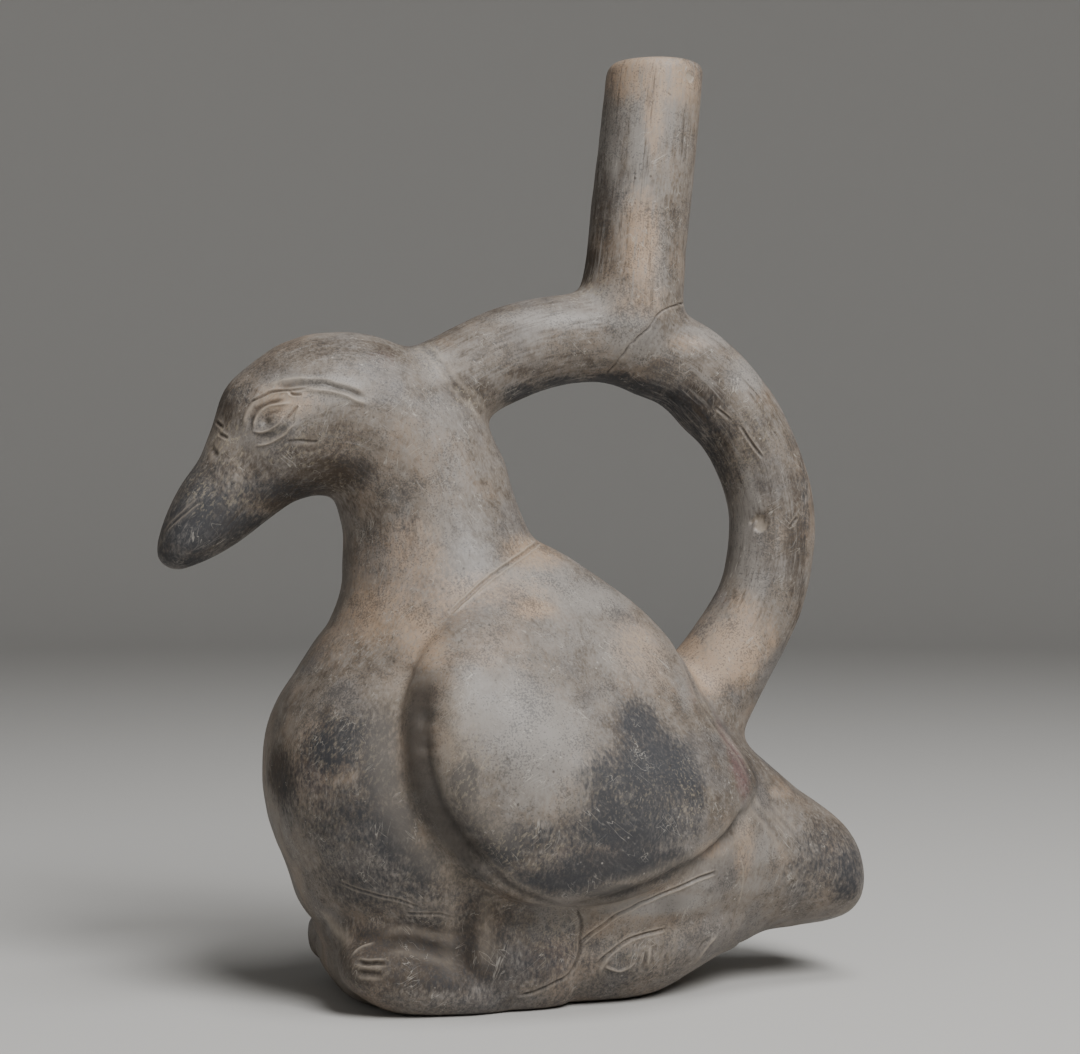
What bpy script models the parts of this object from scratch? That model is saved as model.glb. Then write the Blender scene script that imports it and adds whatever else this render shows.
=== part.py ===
# Stirrup spout vessel in the shape of a resting duck, one hollow piece of fired clay.
# The bird looks towards -X, Y runs across it, and the vessel stands on Z = 0.
import math

import bmesh
import bpy
import numpy as np
from mathutils import Matrix

# Driving sizes, in metres
HEIGHT = 0.214            # ground to the rim of the spout
BIRD_LENGTH = 0.164       # tip of the bill to the tip of the tail
BODY_WALL = 0.0050        # clay of the bird
STIRRUP_RADIUS = 0.0102   # outside of the hollow arch
STIRRUP_WALL = 0.0042
SPOUT_RADIUS = 0.0113     # outside of the spout at its rim
SPOUT_SWELL = 0.0005      # the spout is this much wider at its foot
SPOUT_BORE_RADIUS = 0.0071
SPOUT_LEAN = math.radians(6.2)   # the spout leans back, towards the tail
LIP_ROUNDING = 0.0018     # radius of the lip's outer edge
CLAY_GRAIN = 0.0016       # voxel in which the clay forms are fused
JOINT_SOFTENING = 0.0045  # how widely the potter smoothed the luted joints

# How finely the surfaces are kept
OUTSIDE_FACES = 6200
CAVITY_FACES = 1500
ROUND_SIDES = 32

# The bird is drawn in its own units, of which it measures 164 from bill to tail.
UNIT = BIRD_LENGTH / 164.0

# A section is an oval between two ends in the middle plane: x and z of its upper end,
# x and z of its lower end, the y of its middle and its half width.
BODY = (
    (-59.9, 56, -59.9, 48, 0, 5),
    (-58.8, 62, -58.8, 40, 0, 14),
    (-56.5, 68, -56.5, 33, 0, 21),
    (-52.5, 74, -52.5, 25, 0, 26.5),
    (-47, 82, -47, 16, 0, 31),
    (-40, 89, -40, 9, 0, 34),
    (-28, 96, -28, 2, 0, 36.5),
    (-12, 100, -12, -4, 0, 38),
    (5, 98, 5, -5, 0, 38),
    (20, 88, 20, -3, 0, 37),
    (33, 77, 33, 3, 0, 33),
    (44, 64, 44, 8, 0, 27.5),
    (54, 54, 54, 10.5, 0, 22.5),
    (64, 45.5, 64, 11.5, 0, 19.5),
    (72, 40, 72, 12.5, 0, 17.5),
    (77, 35.5, 77, 14, 0, 14.5),
    (79.8, 30.5, 79.8, 17, 0, 9),
    (80.7, 27, 80.7, 21, 0, 3.5),
)
HAUNCHES = (
    (-47.5, 23, -47.5, 14, 0, 14),
    (-45, 27, -45, 9, 0, 20),
    (-39, 31, -39, 2.5, 0, 25.5),
    (-29, 33, -29, -4, 0, 28.5),
    (-10, 33, -10, -5, 0, 30.5),
    (10, 32, 10, -5, 0, 31),
    (24, 31, 24, -3, 0, 30),
    (36, 30, 36, 2.5, 0, 26),
    (46, 29, 46, 8.5, 0, 20.5),
)
NECK_AND_HEAD = (
    (10, 78, -50, 75, 0, 33),
    (4, 92, -45.2, 84.8, 0, 27),
    (0.8, 102.8, -42.8, 91.6, 0, 22.5),
    (-3.4, 113.1, -42.5, 98, 0, 19.5),
    (-6.8, 123.4, -42.3, 104, 0, 18.5),
    (-17, 140, -43, 107.5, 0, 18.5),
    (-33, 148.3, -43.8, 111, 0, 18),
    (-45.7, 149.7, -45.5, 112.6, 0, 17.8),
    (-55.9, 147.2, -48.5, 112.9, 0, 17),
    (-63.8, 141.9, -51.5, 112.2, 0, 15.5),
    (-69.4, 136.3, -54.5, 111, 0, 13.5),
    (-72, 128.8, -58, 108.6, 0, 11.3),
    (-74.9, 121.1, -64.5, 103.7, 0, 10.3),
    (-78.2, 116.2, -68.2, 101.1, 0, 10.3),
    (-81.2, 110.8, -72.5, 98.8, 0, 9.8),
    (-83.2, 105.8, -76.5, 97.2, 0, 8.5),
    (-84.3, 101.5, -79.8, 96.3, 0, 6),
    (-84, 98.6, -82, 96.8, 0, 2.5),
)
THIGH = (
    (-22.5, 30, -22.5, 4, 22, 5),
    (-19.5, 34, -19.5, 0, 22.5, 9),
    (-8, 34, -8, -1, 23, 10),
    (2.5, 33, 2.5, 0, 22.5, 9),
    (6, 28, 6, 5, 22, 4),
)
SHANK = (
    (4, 20, 4, 11, 23.5, 6),
    (12, 25, 12, 9, 22.5, 8.5),
    (24, 28.5, 24, 12, 21, 8.5),
    (36, 33, 36, 17, 17.5, 8),
    (44, 35, 44, 22, 14.5, 7),
    (48, 32, 48, 26, 12, 3),
)
FOOT = (
    (-47, 13, -47, 8.5, 19, 4),
    (-45.5, 15.5, -45.5, 6, 20, 7.5),
    (-40, 17, -40, 2, 21, 9.5),
    (-32, 16, -32, -1, 21.5, 10),
    (-20, 13, -20, -2, 21.5, 10),
    (-12, 10, -12, -2, 21, 8),
)
BETWEEN_FEET = (
    (-46.5, 12, -46.5, 7, 0, 14),
    (-45, 15, -45, 4, 0, 21),
    (-40, 19, -40, -1, 0, 25),
    (-30, 20, -30, -3, 0, 27),
    (-15, 18, -15, -3, 0, 28),
)

# Rim of a folded wing, where it meets the body, and the wing's middle and crown: x, y, z
WING_RIM = (
    (-1, 8, 103),
    (-14.5, 20, 94),
    (-28, 28, 82.5),
    (-35, 32, 70),
    (-36, 34, 58),
    (-33.4, 34, 46),
    (-25.4, 34, 35),
    (-12, 34, 26),
    (5, 34, 24),
    (18, 33.5, 26),
    (29, 32, 31),
    (38.5, 29, 37.5),
    (47.5, 23.5, 46.5),
    (46.5, 20.5, 53),
    (39, 17, 64),
    (33.8, 11, 77),
    (25.3, 8, 87),
    (12.8, 7.5, 96),
)
WING_MIDDLE = (4, 29, 60)
WING_CROWN = (-1, 45.5, 57)
WING_FULLNESS = 2.1

# Line of the stirrup, from inside the head, over the top and down into the back: x, z and
# how much wider than its plain part the tube is there
STIRRUP_LINE = (
    (-36, 128, 1.35),
    (-25, 134, 1.22),
    (-14.5, 140.5, 1.1),
    (-3.9, 145.6, 1.06),
    (6.8, 148.8, 1.03),
    (17.6, 149.9, 1.03),
    (28.5, 148.4, 1),
    (40, 143, 1),
    (52, 130.5, 1),
    (58.8, 115.5, 1),
    (60, 102.7, 1),
    (57, 88.6, 1),
    (49.5, 75.5, 1.08),
    (41, 63, 1.25),
    (36, 54, 1.35),
)
SPOUT_FOOT = (24.4, 150.0)   # where the spout's line meets the stirrup's

# Middle of each luted joint and how far round it the potter's thumb went: x, z, reach
LUTED_JOINTS = (
    (-18.0, 137.0, 22.0),
    (41.0, 66.0, 22.0),
    (24.4, 158.0, 22.0),
    (-12.0, 98.0, 24.0),
    (54.0, 54.0, 12.0),
)


def smooth_rows(rows, steps, closed=False):
    # Catmull-Rom rows through the given ones, with steps to each stretch.
    rows = np.array(rows, float)
    if closed:
        padded = np.vstack((rows[-1], rows, rows[:2]))
    else:
        padded = np.vstack((2 * rows[0] - rows[1], rows, 2 * rows[-1] - rows[-2]))
    found = []
    for a, b, c, d in zip(padded, padded[1:], padded[2:], padded[3:]):
        for t in np.arange(steps) / steps:
            found.append(
                0.5 * (2 * b + (c - a) * t + (2 * a - 5 * b + 4 * c - d) * t**2 + (3 * b - a - 3 * c + d) * t**3)
            )
    return np.array(found if closed else found + [rows[-1]])


def group(name):
    # The collection of that name, made when it is first asked for.
    found = bpy.data.collections.get(name)
    if found is None:
        found = bpy.data.collections.new(name)
        bpy.context.scene.collection.children.link(found)
    return found


def mesh_object(name, mesh, place="workshop"):
    made = bpy.data.objects.new(name, mesh)
    group(place).objects.link(made)
    return made


def skin_over(name, rings):
    # A closed skin over rings of the same number of points.
    shape = bmesh.new()
    made = [[shape.verts.new(point) for point in ring] for ring in rings]
    for near, far in zip(made, made[1:]):
        for k in range(len(near)):
            following = (k + 1) % len(near)
            shape.faces.new((near[k], near[following], far[following], far[k]))
    shape.faces.new(made[0])
    shape.faces.new(made[-1])
    bmesh.ops.recalc_face_normals(shape, faces=shape.faces)
    mesh = bpy.data.meshes.new(name)
    shape.to_mesh(mesh)
    shape.free()
    return mesh_object(name, mesh)


def loft(name, sections, inset=0.0, side=1):
    # An inset draws every section in by the thickness of the clay.
    turns = 2 * math.pi * np.arange(ROUND_SIDES)[:, None] / ROUND_SIDES
    rings = []
    for x, z, low_x, low_z, y, half_width in smooth_rows(sections, 5) * UNIT:
        middle = np.array((x + low_x, 2 * side * y, z + low_z)) / 2
        up = np.array((x - low_x, 0, z - low_z)) / 2
        half_height = np.linalg.norm(up)
        if min(half_height, half_width) < inset + UNIT:
            continue
        up *= (half_height - inset) / half_height
        across = np.array((0, half_width - inset, 0))
        rings.append(middle + np.cos(turns) * across + np.sin(turns) * up)
    return skin_over(name, rings)


def wing(name, side, inset=0.0):
    # A dome over the rim on the outside, and its flatter reflection inside the body.
    rim = smooth_rows(WING_RIM, 3, closed=True) * UNIT
    middle = np.array(WING_MIDDLE) * UNIT
    crown = np.array(WING_CROWN) * UNIT
    spokes = rim - middle
    lengths = np.linalg.norm(spokes, axis=1)[:, None]
    spokes *= (lengths - inset) / lengths
    rise = crown - middle
    rise *= 1 - inset / np.linalg.norm(rise)
    rings = []
    for turn in np.linspace(-0.5 * math.pi, 0.5 * math.pi, 19)[1:-1]:
        spread = math.cos(turn) ** (2 / WING_FULLNESS)
        height = abs(math.sin(turn)) ** (2 / WING_FULLNESS)
        height *= 1 if turn > 0 else -0.6
        rings.append((middle + spokes * spread + rise * height) * (1, side, 1))
    return skin_over(name, rings)


def tube(name, points, radius):
    # A round tube along a smooth line in the bird's middle plane.
    line = bpy.data.curves.new(name, "CURVE")
    line.dimensions = "3D"
    line.bevel_depth = radius
    line.bevel_resolution = 6
    line.use_fill_caps = True
    rows = smooth_rows(points, 5) * (UNIT, UNIT, 1)
    spline = line.splines.new("POLY")
    spline.points.add(len(rows) - 1)
    for point, (x, z, wider) in zip(spline.points, rows):
        point.co = (x, 0, z, 1)
        point.radius = (radius + (wider - 1) * STIRRUP_RADIUS) / radius
    drawn = mesh_object(name + "_line", line)
    mesh = evaluated_mesh(drawn)
    bpy.data.objects.remove(drawn)
    shape = bmesh.new()
    shape.from_mesh(mesh)
    bmesh.ops.remove_doubles(shape, verts=shape.verts, dist=0.00001)
    bmesh.ops.recalc_face_normals(shape, faces=shape.faces)
    shape.to_mesh(mesh)
    shape.free()
    return mesh_object(name, mesh)


def spout_frame():
    # Origin on the stirrup's line. The spout leans, but its rim is level.
    frame = Matrix.Translation((SPOUT_FOOT[0] * UNIT, 0, SPOUT_FOOT[1] * UNIT))
    frame[0][2] = math.tan(SPOUT_LEAN)
    return frame


def spout_length():
    return HEIGHT - SPOUT_FOOT[1] * UNIT


def turned(name, profile):
    # A profile of (radius, height) points turned about the spout's line.
    mesh = bpy.data.meshes.new(name)
    edges = [(k, k + 1) for k in range(len(profile) - 1)]
    mesh.from_pydata([(radius, 0, height) for radius, height in profile], edges, [])
    made = mesh_object(name, mesh)
    screw = made.modifiers.new("turn", "SCREW")
    screw.steps = screw.render_steps = ROUND_SIDES
    screw.use_merge_vertices = True
    screw.merge_threshold = 0.0001
    made.data = evaluated_mesh(made)
    made.modifiers.clear()
    made.data.transform(spout_frame())
    return made


def spout():
    # A straight spout with a rounded lip, closed until the bore is cut.
    top = spout_length()
    corner = [math.pi / 2 * k / 4 for k in range(5)]
    lip = [
        (SPOUT_RADIUS - LIP_ROUNDING * (1 - math.sin(a)), top - LIP_ROUNDING * (1 - math.cos(a)))
        for a in corner
    ]
    foot = STIRRUP_RADIUS
    return turned("spout_clay", [(0, top), *lip, (SPOUT_RADIUS + SPOUT_SWELL, foot), (0, foot)])


def collar():
    # Clay luted round the foot of the spout, which it lets out of its narrower top.
    radius = SPOUT_RADIUS + SPOUT_SWELL
    slip = 0.04 * radius
    low = STIRRUP_RADIUS
    profile = [
        (0, 2 * low),
        (radius - slip, 2 * low),
        (radius + slip, 1.2 * low),
        (radius + slip, 0),
        (0.7 * radius, -0.7 * low),
        (0, -0.9 * low),
    ]
    return turned("collar_clay", profile)


def bore():
    # Straight bore from above the rim to the middle of the stirrup's tube.
    above = spout_length() + SPOUT_RADIUS
    profile = [(0, above), (SPOUT_BORE_RADIUS, above), (SPOUT_BORE_RADIUS, 0), (0, 0)]
    return turned("bore_cutter", profile)


def bird_forms(inset=0.0):
    return [
        loft("body_clay", BODY, inset),
        loft("haunches_clay", HAUNCHES, inset),
        loft("neck_clay", NECK_AND_HEAD, inset),
        tube("stirrup_clay", STIRRUP_LINE, STIRRUP_RADIUS - (STIRRUP_WALL if inset else 0)),
        wing("right_wing_clay", 1, inset),
        wing("left_wing_clay", -1, inset),
    ]


def leg_forms():
    made = [
        loft(name, sections, 0.0, side)
        for side in (-1, 1)
        for name, sections in (("thigh_clay", THIGH), ("shank_clay", SHANK), ("foot_clay", FOOT))
    ]
    return made + [loft("feet_join_clay", BETWEEN_FEET)]


def evaluated_mesh(item):
    bpy.context.view_layer.update()
    mesh = bpy.data.meshes.new_from_object(item.evaluated_get(bpy.context.evaluated_depsgraph_get()))
    mesh.transform(item.matrix_world)
    return mesh


def fused(name, forms, place="workshop"):
    # The forms joined into one skin, as wet clay is.
    shape = bmesh.new()
    for form in forms:
        shape.from_mesh(evaluated_mesh(form))
        bpy.data.objects.remove(form)
    mesh = bpy.data.meshes.new(name)
    shape.to_mesh(mesh)
    shape.free()
    made = mesh_object(name, mesh, place)
    remesh = made.modifiers.new("fuse", "REMESH")
    remesh.mode = "VOXEL"
    remesh.voxel_size = CLAY_GRAIN
    made.data = evaluated_mesh(made)
    made.modifiers.clear()
    return made


def soften(item, iterations, joints=()):
    # Smooths the skin, everywhere or only near the luted joints.
    smooth = item.modifiers.new("soften", "SMOOTH")
    smooth.factor = 0.5
    smooth.iterations = iterations
    if not joints:
        return
    weights = item.vertex_groups.new(name="joints")
    places = np.array([vertex.co for vertex in item.data.vertices])
    reach = np.zeros(len(places))
    for x, z, radius in joints:
        away = np.linalg.norm(places - np.array((x, 0, z)) * UNIT, axis=1) / (radius * UNIT)
        reach = np.maximum(reach, np.clip(1.5 * (1 - away), 0, 1))
    for index in np.nonzero(reach)[0]:
        weights.add([int(index)], float(reach[index]), "REPLACE")
    smooth.vertex_group = weights.name


def coarsen(item, faces):
    item.data = evaluated_mesh(item)
    item.modifiers.clear()
    item.data.calc_loop_triangles()
    decimate = item.modifiers.new("coarsen", "DECIMATE")
    decimate.ratio = min(1.0, faces / len(item.data.loop_triangles))


def cut(item, cutter, operation="DIFFERENCE"):
    step = item.modifiers.new(cutter.name, "BOOLEAN")
    step.operation = operation
    step.object = cutter
    cutter.display_type = "WIRE"
    cutter.hide_render = True


def level_cutter(name, level):
    # A block that takes away all below a level.
    size = 2 * HEIGHT
    shape = bmesh.new()
    bmesh.ops.create_cube(shape, size=size, matrix=Matrix.Translation((0, 0, level - size / 2)))
    mesh = bpy.data.meshes.new(name)
    shape.to_mesh(mesh)
    shape.free()
    return mesh_object(name, mesh)


def clay():
    colour = bpy.data.materials.new("grey_brown_clay")
    colour.use_nodes = True
    shader = colour.node_tree.nodes["Principled BSDF"]
    shader.inputs["Base Color"].default_value = (0.20, 0.175, 0.15, 1)
    shader.inputs["Roughness"].default_value = 0.55
    shader.inputs["Metallic"].default_value = 0.0
    return colour


def settle(item):
    # Welds what the cuts left double. The origin is the middle of the vessel's box, on the ground.
    shape = bmesh.new()
    shape.from_mesh(evaluated_mesh(item))
    item.modifiers.clear()
    bmesh.ops.remove_doubles(shape, verts=shape.verts, dist=0.00001)
    bmesh.ops.dissolve_degenerate(shape, edges=shape.edges, dist=0.00001)
    bmesh.ops.triangulate(shape, faces=shape.faces)
    places = np.array([vertex.co for vertex in shape.verts])
    middle = (places.min(axis=0) + places.max(axis=0)) / 2
    bmesh.ops.translate(shape, verts=shape.verts, vec=(-middle[0], -middle[1], 0))
    shape.to_mesh(item.data)
    shape.free()


def vessel():
    clay_forms = bird_forms() + leg_forms() + [collar()]
    skin = fused("duck_vessel", clay_forms, "stirrup_spout_vessel")
    spread = (JOINT_SOFTENING / CLAY_GRAIN) ** 2
    soften(skin, 3)
    soften(skin, round(4 * spread), LUTED_JOINTS)
    coarsen(skin, OUTSIDE_FACES)
    hollow = fused("cavity_cutter", bird_forms(BODY_WALL))
    soften(hollow, 4)
    coarsen(hollow, CAVITY_FACES)
    cut(hollow, level_cutter("floor_cutter", BODY_WALL))
    cut(skin, spout(), "UNION")
    cut(skin, hollow)
    cut(skin, bore())
    cut(skin, level_cutter("ground_cutter", 0.0))
    settle(skin)
    skin.data.materials.clear()
    skin.data.materials.append(clay())
    skin.data.shade_smooth()
    skin.data.set_sharp_from_angle(angle=math.radians(50))
    return skin


def main():
    for item in list(bpy.data.objects):
        bpy.data.objects.remove(item)
    vessel()


main()
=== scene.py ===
import math

import bmesh
import bpy
import numpy as np
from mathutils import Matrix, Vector, kdtree, noise
from mathutils.bvhtree import BVHTree


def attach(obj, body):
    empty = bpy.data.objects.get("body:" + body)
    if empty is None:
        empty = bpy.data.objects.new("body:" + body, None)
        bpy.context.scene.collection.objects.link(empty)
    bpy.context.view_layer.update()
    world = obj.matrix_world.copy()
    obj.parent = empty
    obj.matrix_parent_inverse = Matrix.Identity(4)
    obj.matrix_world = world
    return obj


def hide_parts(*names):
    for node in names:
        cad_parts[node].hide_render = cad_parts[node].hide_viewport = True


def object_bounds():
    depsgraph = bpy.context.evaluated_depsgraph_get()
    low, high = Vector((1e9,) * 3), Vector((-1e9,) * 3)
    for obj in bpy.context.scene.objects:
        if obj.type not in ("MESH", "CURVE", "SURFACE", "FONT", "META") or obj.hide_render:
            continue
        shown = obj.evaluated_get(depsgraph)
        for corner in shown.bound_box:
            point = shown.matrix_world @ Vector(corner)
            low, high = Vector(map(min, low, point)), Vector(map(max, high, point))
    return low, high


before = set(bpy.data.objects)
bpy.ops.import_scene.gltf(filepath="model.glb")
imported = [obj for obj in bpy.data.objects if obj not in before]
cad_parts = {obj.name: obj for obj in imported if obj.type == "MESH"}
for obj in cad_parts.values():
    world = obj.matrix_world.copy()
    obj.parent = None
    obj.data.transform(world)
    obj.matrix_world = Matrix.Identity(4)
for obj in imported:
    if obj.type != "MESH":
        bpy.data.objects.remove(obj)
cadBox = [[float(v) for v in corner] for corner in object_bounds()]
scene = bpy.context.scene
mm = 0.001


# small helpers
def smoothRows(rows, steps, isRing=False):
    # a smooth line through the rows
    rows = np.array(rows, float)
    if isRing:
        padded = np.vstack((rows[-1], rows, rows[:2]))
    else:
        padded = np.vstack((2 * rows[0] - rows[1], rows, 2 * rows[-1] - rows[-2]))
    found = []
    for a, b, c, d in zip(padded, padded[1:], padded[2:], padded[3:]):
        for t in np.arange(steps) / steps:
            bend = (2 * a - 5 * b + 4 * c - d) * t**2
            found.append(0.5 * (2 * b + (c - a) * t + bend + (3 * b - a - 3 * c + d) * t**3))
    return np.array(found if isRing else found + [rows[-1]])


def ease(value, low, high):
    t = np.clip((np.asarray(value, float) - low) / (high - low), 0, 1)
    return t * t * (3 - 2 * t)


def quarterTurn(steps):
    return [math.pi / 2 * k / steps for k in range(steps + 1)]


def addItem(name, data):
    made = bpy.data.objects.new(name, data)
    scene.collection.objects.link(made)
    return made


def closed(shape, mesh):
    shape.to_mesh(mesh)
    shape.free()
    return mesh


def opened(mesh):
    shape = bmesh.new()
    shape.from_mesh(mesh)
    return shape


def evaluatedMesh(item):
    bpy.context.view_layer.update()
    return bpy.data.meshes.new_from_object(item.evaluated_get(bpy.context.evaluated_depsgraph_get()))


def applyModifiers(item):
    item.data = evaluatedMesh(item)
    item.modifiers.clear()


def vertexPlaces(mesh):
    flat = np.empty(len(mesh.vertices) * 3)
    mesh.vertices.foreach_get("co", flat)
    return flat.reshape(-1, 3)


def setPlaces(mesh, places):
    mesh.vertices.foreach_set("co", np.ascontiguousarray(places, dtype=np.float32).ravel())
    mesh.update()


def skinOver(name, rings):
    shape = bmesh.new()
    made = [[shape.verts.new(point) for point in ring] for ring in rings]
    for near, far in zip(made, made[1:]):
        for k in range(len(near)):
            following = (k + 1) % len(near)
            shape.faces.new((near[k], near[following], far[following], far[k]))
    shape.faces.new(made[0])
    shape.faces.new(made[-1])
    bmesh.ops.recalc_face_normals(shape, faces=shape.faces)
    return addItem(name, closed(shape, bpy.data.meshes.new(name)))


# the clay forms, the same as the solid's
vessel = {
    "height": 0.214,
    "wall": 0.005,
    "stirrupRadius": 0.0102,
    "stirrupWall": 0.0042,
    "spoutRadius": 0.0113,
    "spoutSwell": 0.0005,
    "boreRadius": 0.0071,
    "spoutLean": math.radians(6.2),
    "lipRounding": 0.0026,
    "grain": 0.0008,          # voxel of the outside
    "cavityGrain": 0.0021,
    "evening": 7,             # smoothing passes over all of the skin
    "jointPasses": 120,       # and at the luted joints
    "baseRounding": 0.0016,
    "outsideFaces": 158000,
    "cavityFaces": 9000,
    "cavityEvening": 4,
    "ringPoints": 48,         # round a lofted form
    "ringSteps": 8,           # rings from one section to the next
    "spoutPoints": 64,        # round the spout
    "tubeResolution": 10,     # of the stirrup
    "tubeWeld": 0.00001,      # points closer than this are one
    "weld": 0.000004,
    "sliver": 0.000002,
}
# the bore's mouth (m): how far it opens, how high the tool stands, and its rounding
boreMouth = {"opens": 0.0016, "above": 0.004, "across": 0.0013, "down": 0.0014, "below": 0.0002, "floor": 0.002}

# sections: x and z of the upper end, x and z of the lower end, y of the middle, half width (mm)
birdSections = {
    "body": (
        (-59.9, 56, -59.9, 48, 0, 5), (-58.8, 62, -58.8, 40, 0, 14), (-56.5, 68, -56.5, 33, 0, 21),
        (-52.5, 74, -52.5, 25, 0, 26.5), (-47, 82, -47, 16, 0, 31), (-40, 89, -40, 9, 0, 34),
        (-28, 96, -28, 2, 0, 36.5), (-12, 100, -12, -4, 0, 38), (5, 98, 5, -5, 0, 38),
        (20, 88, 20, -3, 0, 37), (33, 77, 33, 3, 0, 33), (44, 64, 44, 8, 0, 27.5),
        (54, 54, 54, 10.5, 0, 22.5), (64, 45.5, 64, 11.5, 0, 19.5), (72, 40, 72, 12.5, 0, 17.5),
        (77, 35.5, 77, 14, 0, 14.5), (79.8, 30.5, 79.8, 17, 0, 9), (80.7, 27, 80.7, 21, 0, 3.5),
    ),
    "haunches": (
        (-47.5, 23, -47.5, 14, 0, 14), (-45, 27, -45, 9, 0, 20), (-39, 31, -39, 2.5, 0, 25.5),
        (-29, 33, -29, -4, 0, 28.5), (-10, 33, -10, -5, 0, 30.5), (10, 32, 10, -5, 0, 31),
        (24, 31, 24, -3, 0, 30), (36, 30, 36, 2.5, 0, 26), (46, 29, 46, 8.5, 0, 20.5),
    ),
    "neckAndHead": (
        (10, 78, -50, 75, 0, 33), (4, 92, -45.2, 84.8, 0, 27), (0.8, 102.8, -42.8, 91.6, 0, 22.5),
        (-3.4, 113.1, -42.5, 98, 0, 19.5), (-6.8, 123.4, -42.3, 104, 0, 18.5),
        (-17, 140, -43, 107.5, 0, 18.5), (-33, 148.3, -43.8, 111, 0, 18),
        (-45.7, 149.7, -45.5, 112.6, 0, 17.8), (-55.9, 147.2, -48.5, 112.9, 0, 17),
        (-63.8, 141.9, -51.5, 112.2, 0, 15.5), (-69.4, 136.3, -54.5, 111, 0, 13.5),
        (-72, 128.8, -58, 108.6, 0, 11.3), (-74.9, 121.1, -64.5, 103.7, 0, 10.3),
        (-78.2, 116.2, -68.2, 101.1, 0, 10.3), (-81.2, 110.8, -72.5, 98.8, 0, 9.8),
        (-83.2, 105.8, -76.5, 97.2, 0, 8.5), (-84.3, 101.5, -79.8, 96.3, 0, 6),
        (-84, 98.6, -82, 96.8, 0, 2.5),
    ),
}
legSections = {
    "thigh": (
        (-22.5, 30, -22.5, 4, 22, 5), (-19.5, 34, -19.5, 0, 22.5, 9), (-8, 34, -8, -1, 23, 10),
        (2.5, 33, 2.5, 0, 22.5, 9), (6, 28, 6, 5, 22, 4),
    ),
    "shank": (
        (4, 20, 4, 11, 23.5, 6), (12, 25, 12, 9, 22.5, 8.5), (24, 28.5, 24, 12, 21, 8.5),
        (36, 33, 36, 17, 17.5, 8), (44, 35, 44, 22, 14.5, 7), (48, 32, 48, 26, 12, 3),
    ),
    "foot": (
        (-47, 13, -47, 8.5, 19, 4), (-45.5, 15.5, -45.5, 6, 20, 7.5), (-40, 17, -40, 2, 21, 9.5),
        (-32, 16, -32, -1, 21.5, 10), (-20, 13, -20, -2, 21.5, 10), (-12, 10, -12, -2, 21, 8),
    ),
}
betweenFeet = (
    (-46.5, 12, -46.5, 7, 0, 14), (-45, 15, -45, 4, 0, 21), (-40, 19, -40, -1, 0, 25), (-30, 20, -30, -3, 0, 27),
    (-15, 18, -15, -3, 0, 28),
)
wingShape = {
    "rim": (
        (-1, 8, 103), (-14.5, 20, 94), (-28, 28, 82.5), (-35, 32, 70), (-36, 34, 58), (-33.4, 34, 46),
        (-25.4, 34, 35), (-12, 34, 26), (5, 34, 24), (18, 33.5, 26), (29, 32, 31), (38.5, 29, 37.5),
        (47.5, 23.5, 46.5), (46.5, 20.5, 53), (39, 17, 64), (33.8, 11, 77), (25.3, 8, 87), (12.8, 7.5, 96),
    ),
    "middle": (4, 29, 60),
    "crown": (-1, 45.5, 57),
    "fullness": 2.1,
    "innerShare": 0.6,   # of the crown's height, for the dome inside the body
    "rimSteps": 5,
    "turns": 41,
}
# x, z and how much wider than its plain part the tube is
stirrupLine = (
    (-36, 128, 1.35), (-25, 134, 1.22), (-14.5, 140.5, 1.1), (-3.9, 145.6, 1.06), (6.8, 148.8, 1.03),
    (17.6, 149.9, 1.03), (28.5, 148.4, 1), (40, 143, 1), (52, 130.5, 1), (58.8, 115.5, 1),
    (60, 102.7, 1), (57, 88.6, 1), (49.5, 75.5, 1.08), (41, 63, 1.25), (36, 54, 1.35),
)
spoutFoot = (24.4, 150.0)
# x, z and reach (mm) of the places where two forms are luted together
lutedJoints = (
    (-18.0, 137.0, 22.0), (41.0, 66.0, 22.0), (24.4, 158.0, 22.0), (-12.0, 98.0, 24.0), (54.0, 54.0, 12.0),
)


def loft(name, sections, inset=0.0, side=1):
    turns = 2 * math.pi * np.arange(vessel["ringPoints"])[:, None] / vessel["ringPoints"]
    rings = []
    for x, z, lowX, lowZ, y, halfWidth in smoothRows(sections, vessel["ringSteps"]) * mm:
        middle = np.array((x + lowX, 2 * side * y, z + lowZ)) / 2
        up = np.array((x - lowX, 0, z - lowZ)) / 2
        halfHeight = np.linalg.norm(up)
        if min(halfHeight, halfWidth) < inset + mm:
            continue
        up *= (halfHeight - inset) / halfHeight
        across = np.array((0, halfWidth - inset, 0))
        rings.append(middle + np.cos(turns) * across + np.sin(turns) * up)
    return skinOver(name, rings)


def foldedWing(name, side, inset=0.0):
    # a dome over its rim, and a flatter one inside the body
    rim = smoothRows(wingShape["rim"], wingShape["rimSteps"], isRing=True) * mm
    middle = np.array(wingShape["middle"]) * mm
    crown = np.array(wingShape["crown"]) * mm
    spokes = rim - middle
    lengths = np.linalg.norm(spokes, axis=1)[:, None]
    spokes *= (lengths - inset) / lengths
    rise = crown - middle
    rise *= 1 - inset / np.linalg.norm(rise)
    rings = []
    power = 2 / wingShape["fullness"]
    for turn in np.linspace(-0.5 * math.pi, 0.5 * math.pi, wingShape["turns"])[1:-1]:
        spread = math.cos(turn) ** power
        height = abs(math.sin(turn)) ** power * (1 if turn > 0 else -wingShape["innerShare"])
        rings.append((middle + spokes * spread + rise * height) * (1, side, 1))
    return skinOver(name, rings)


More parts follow.
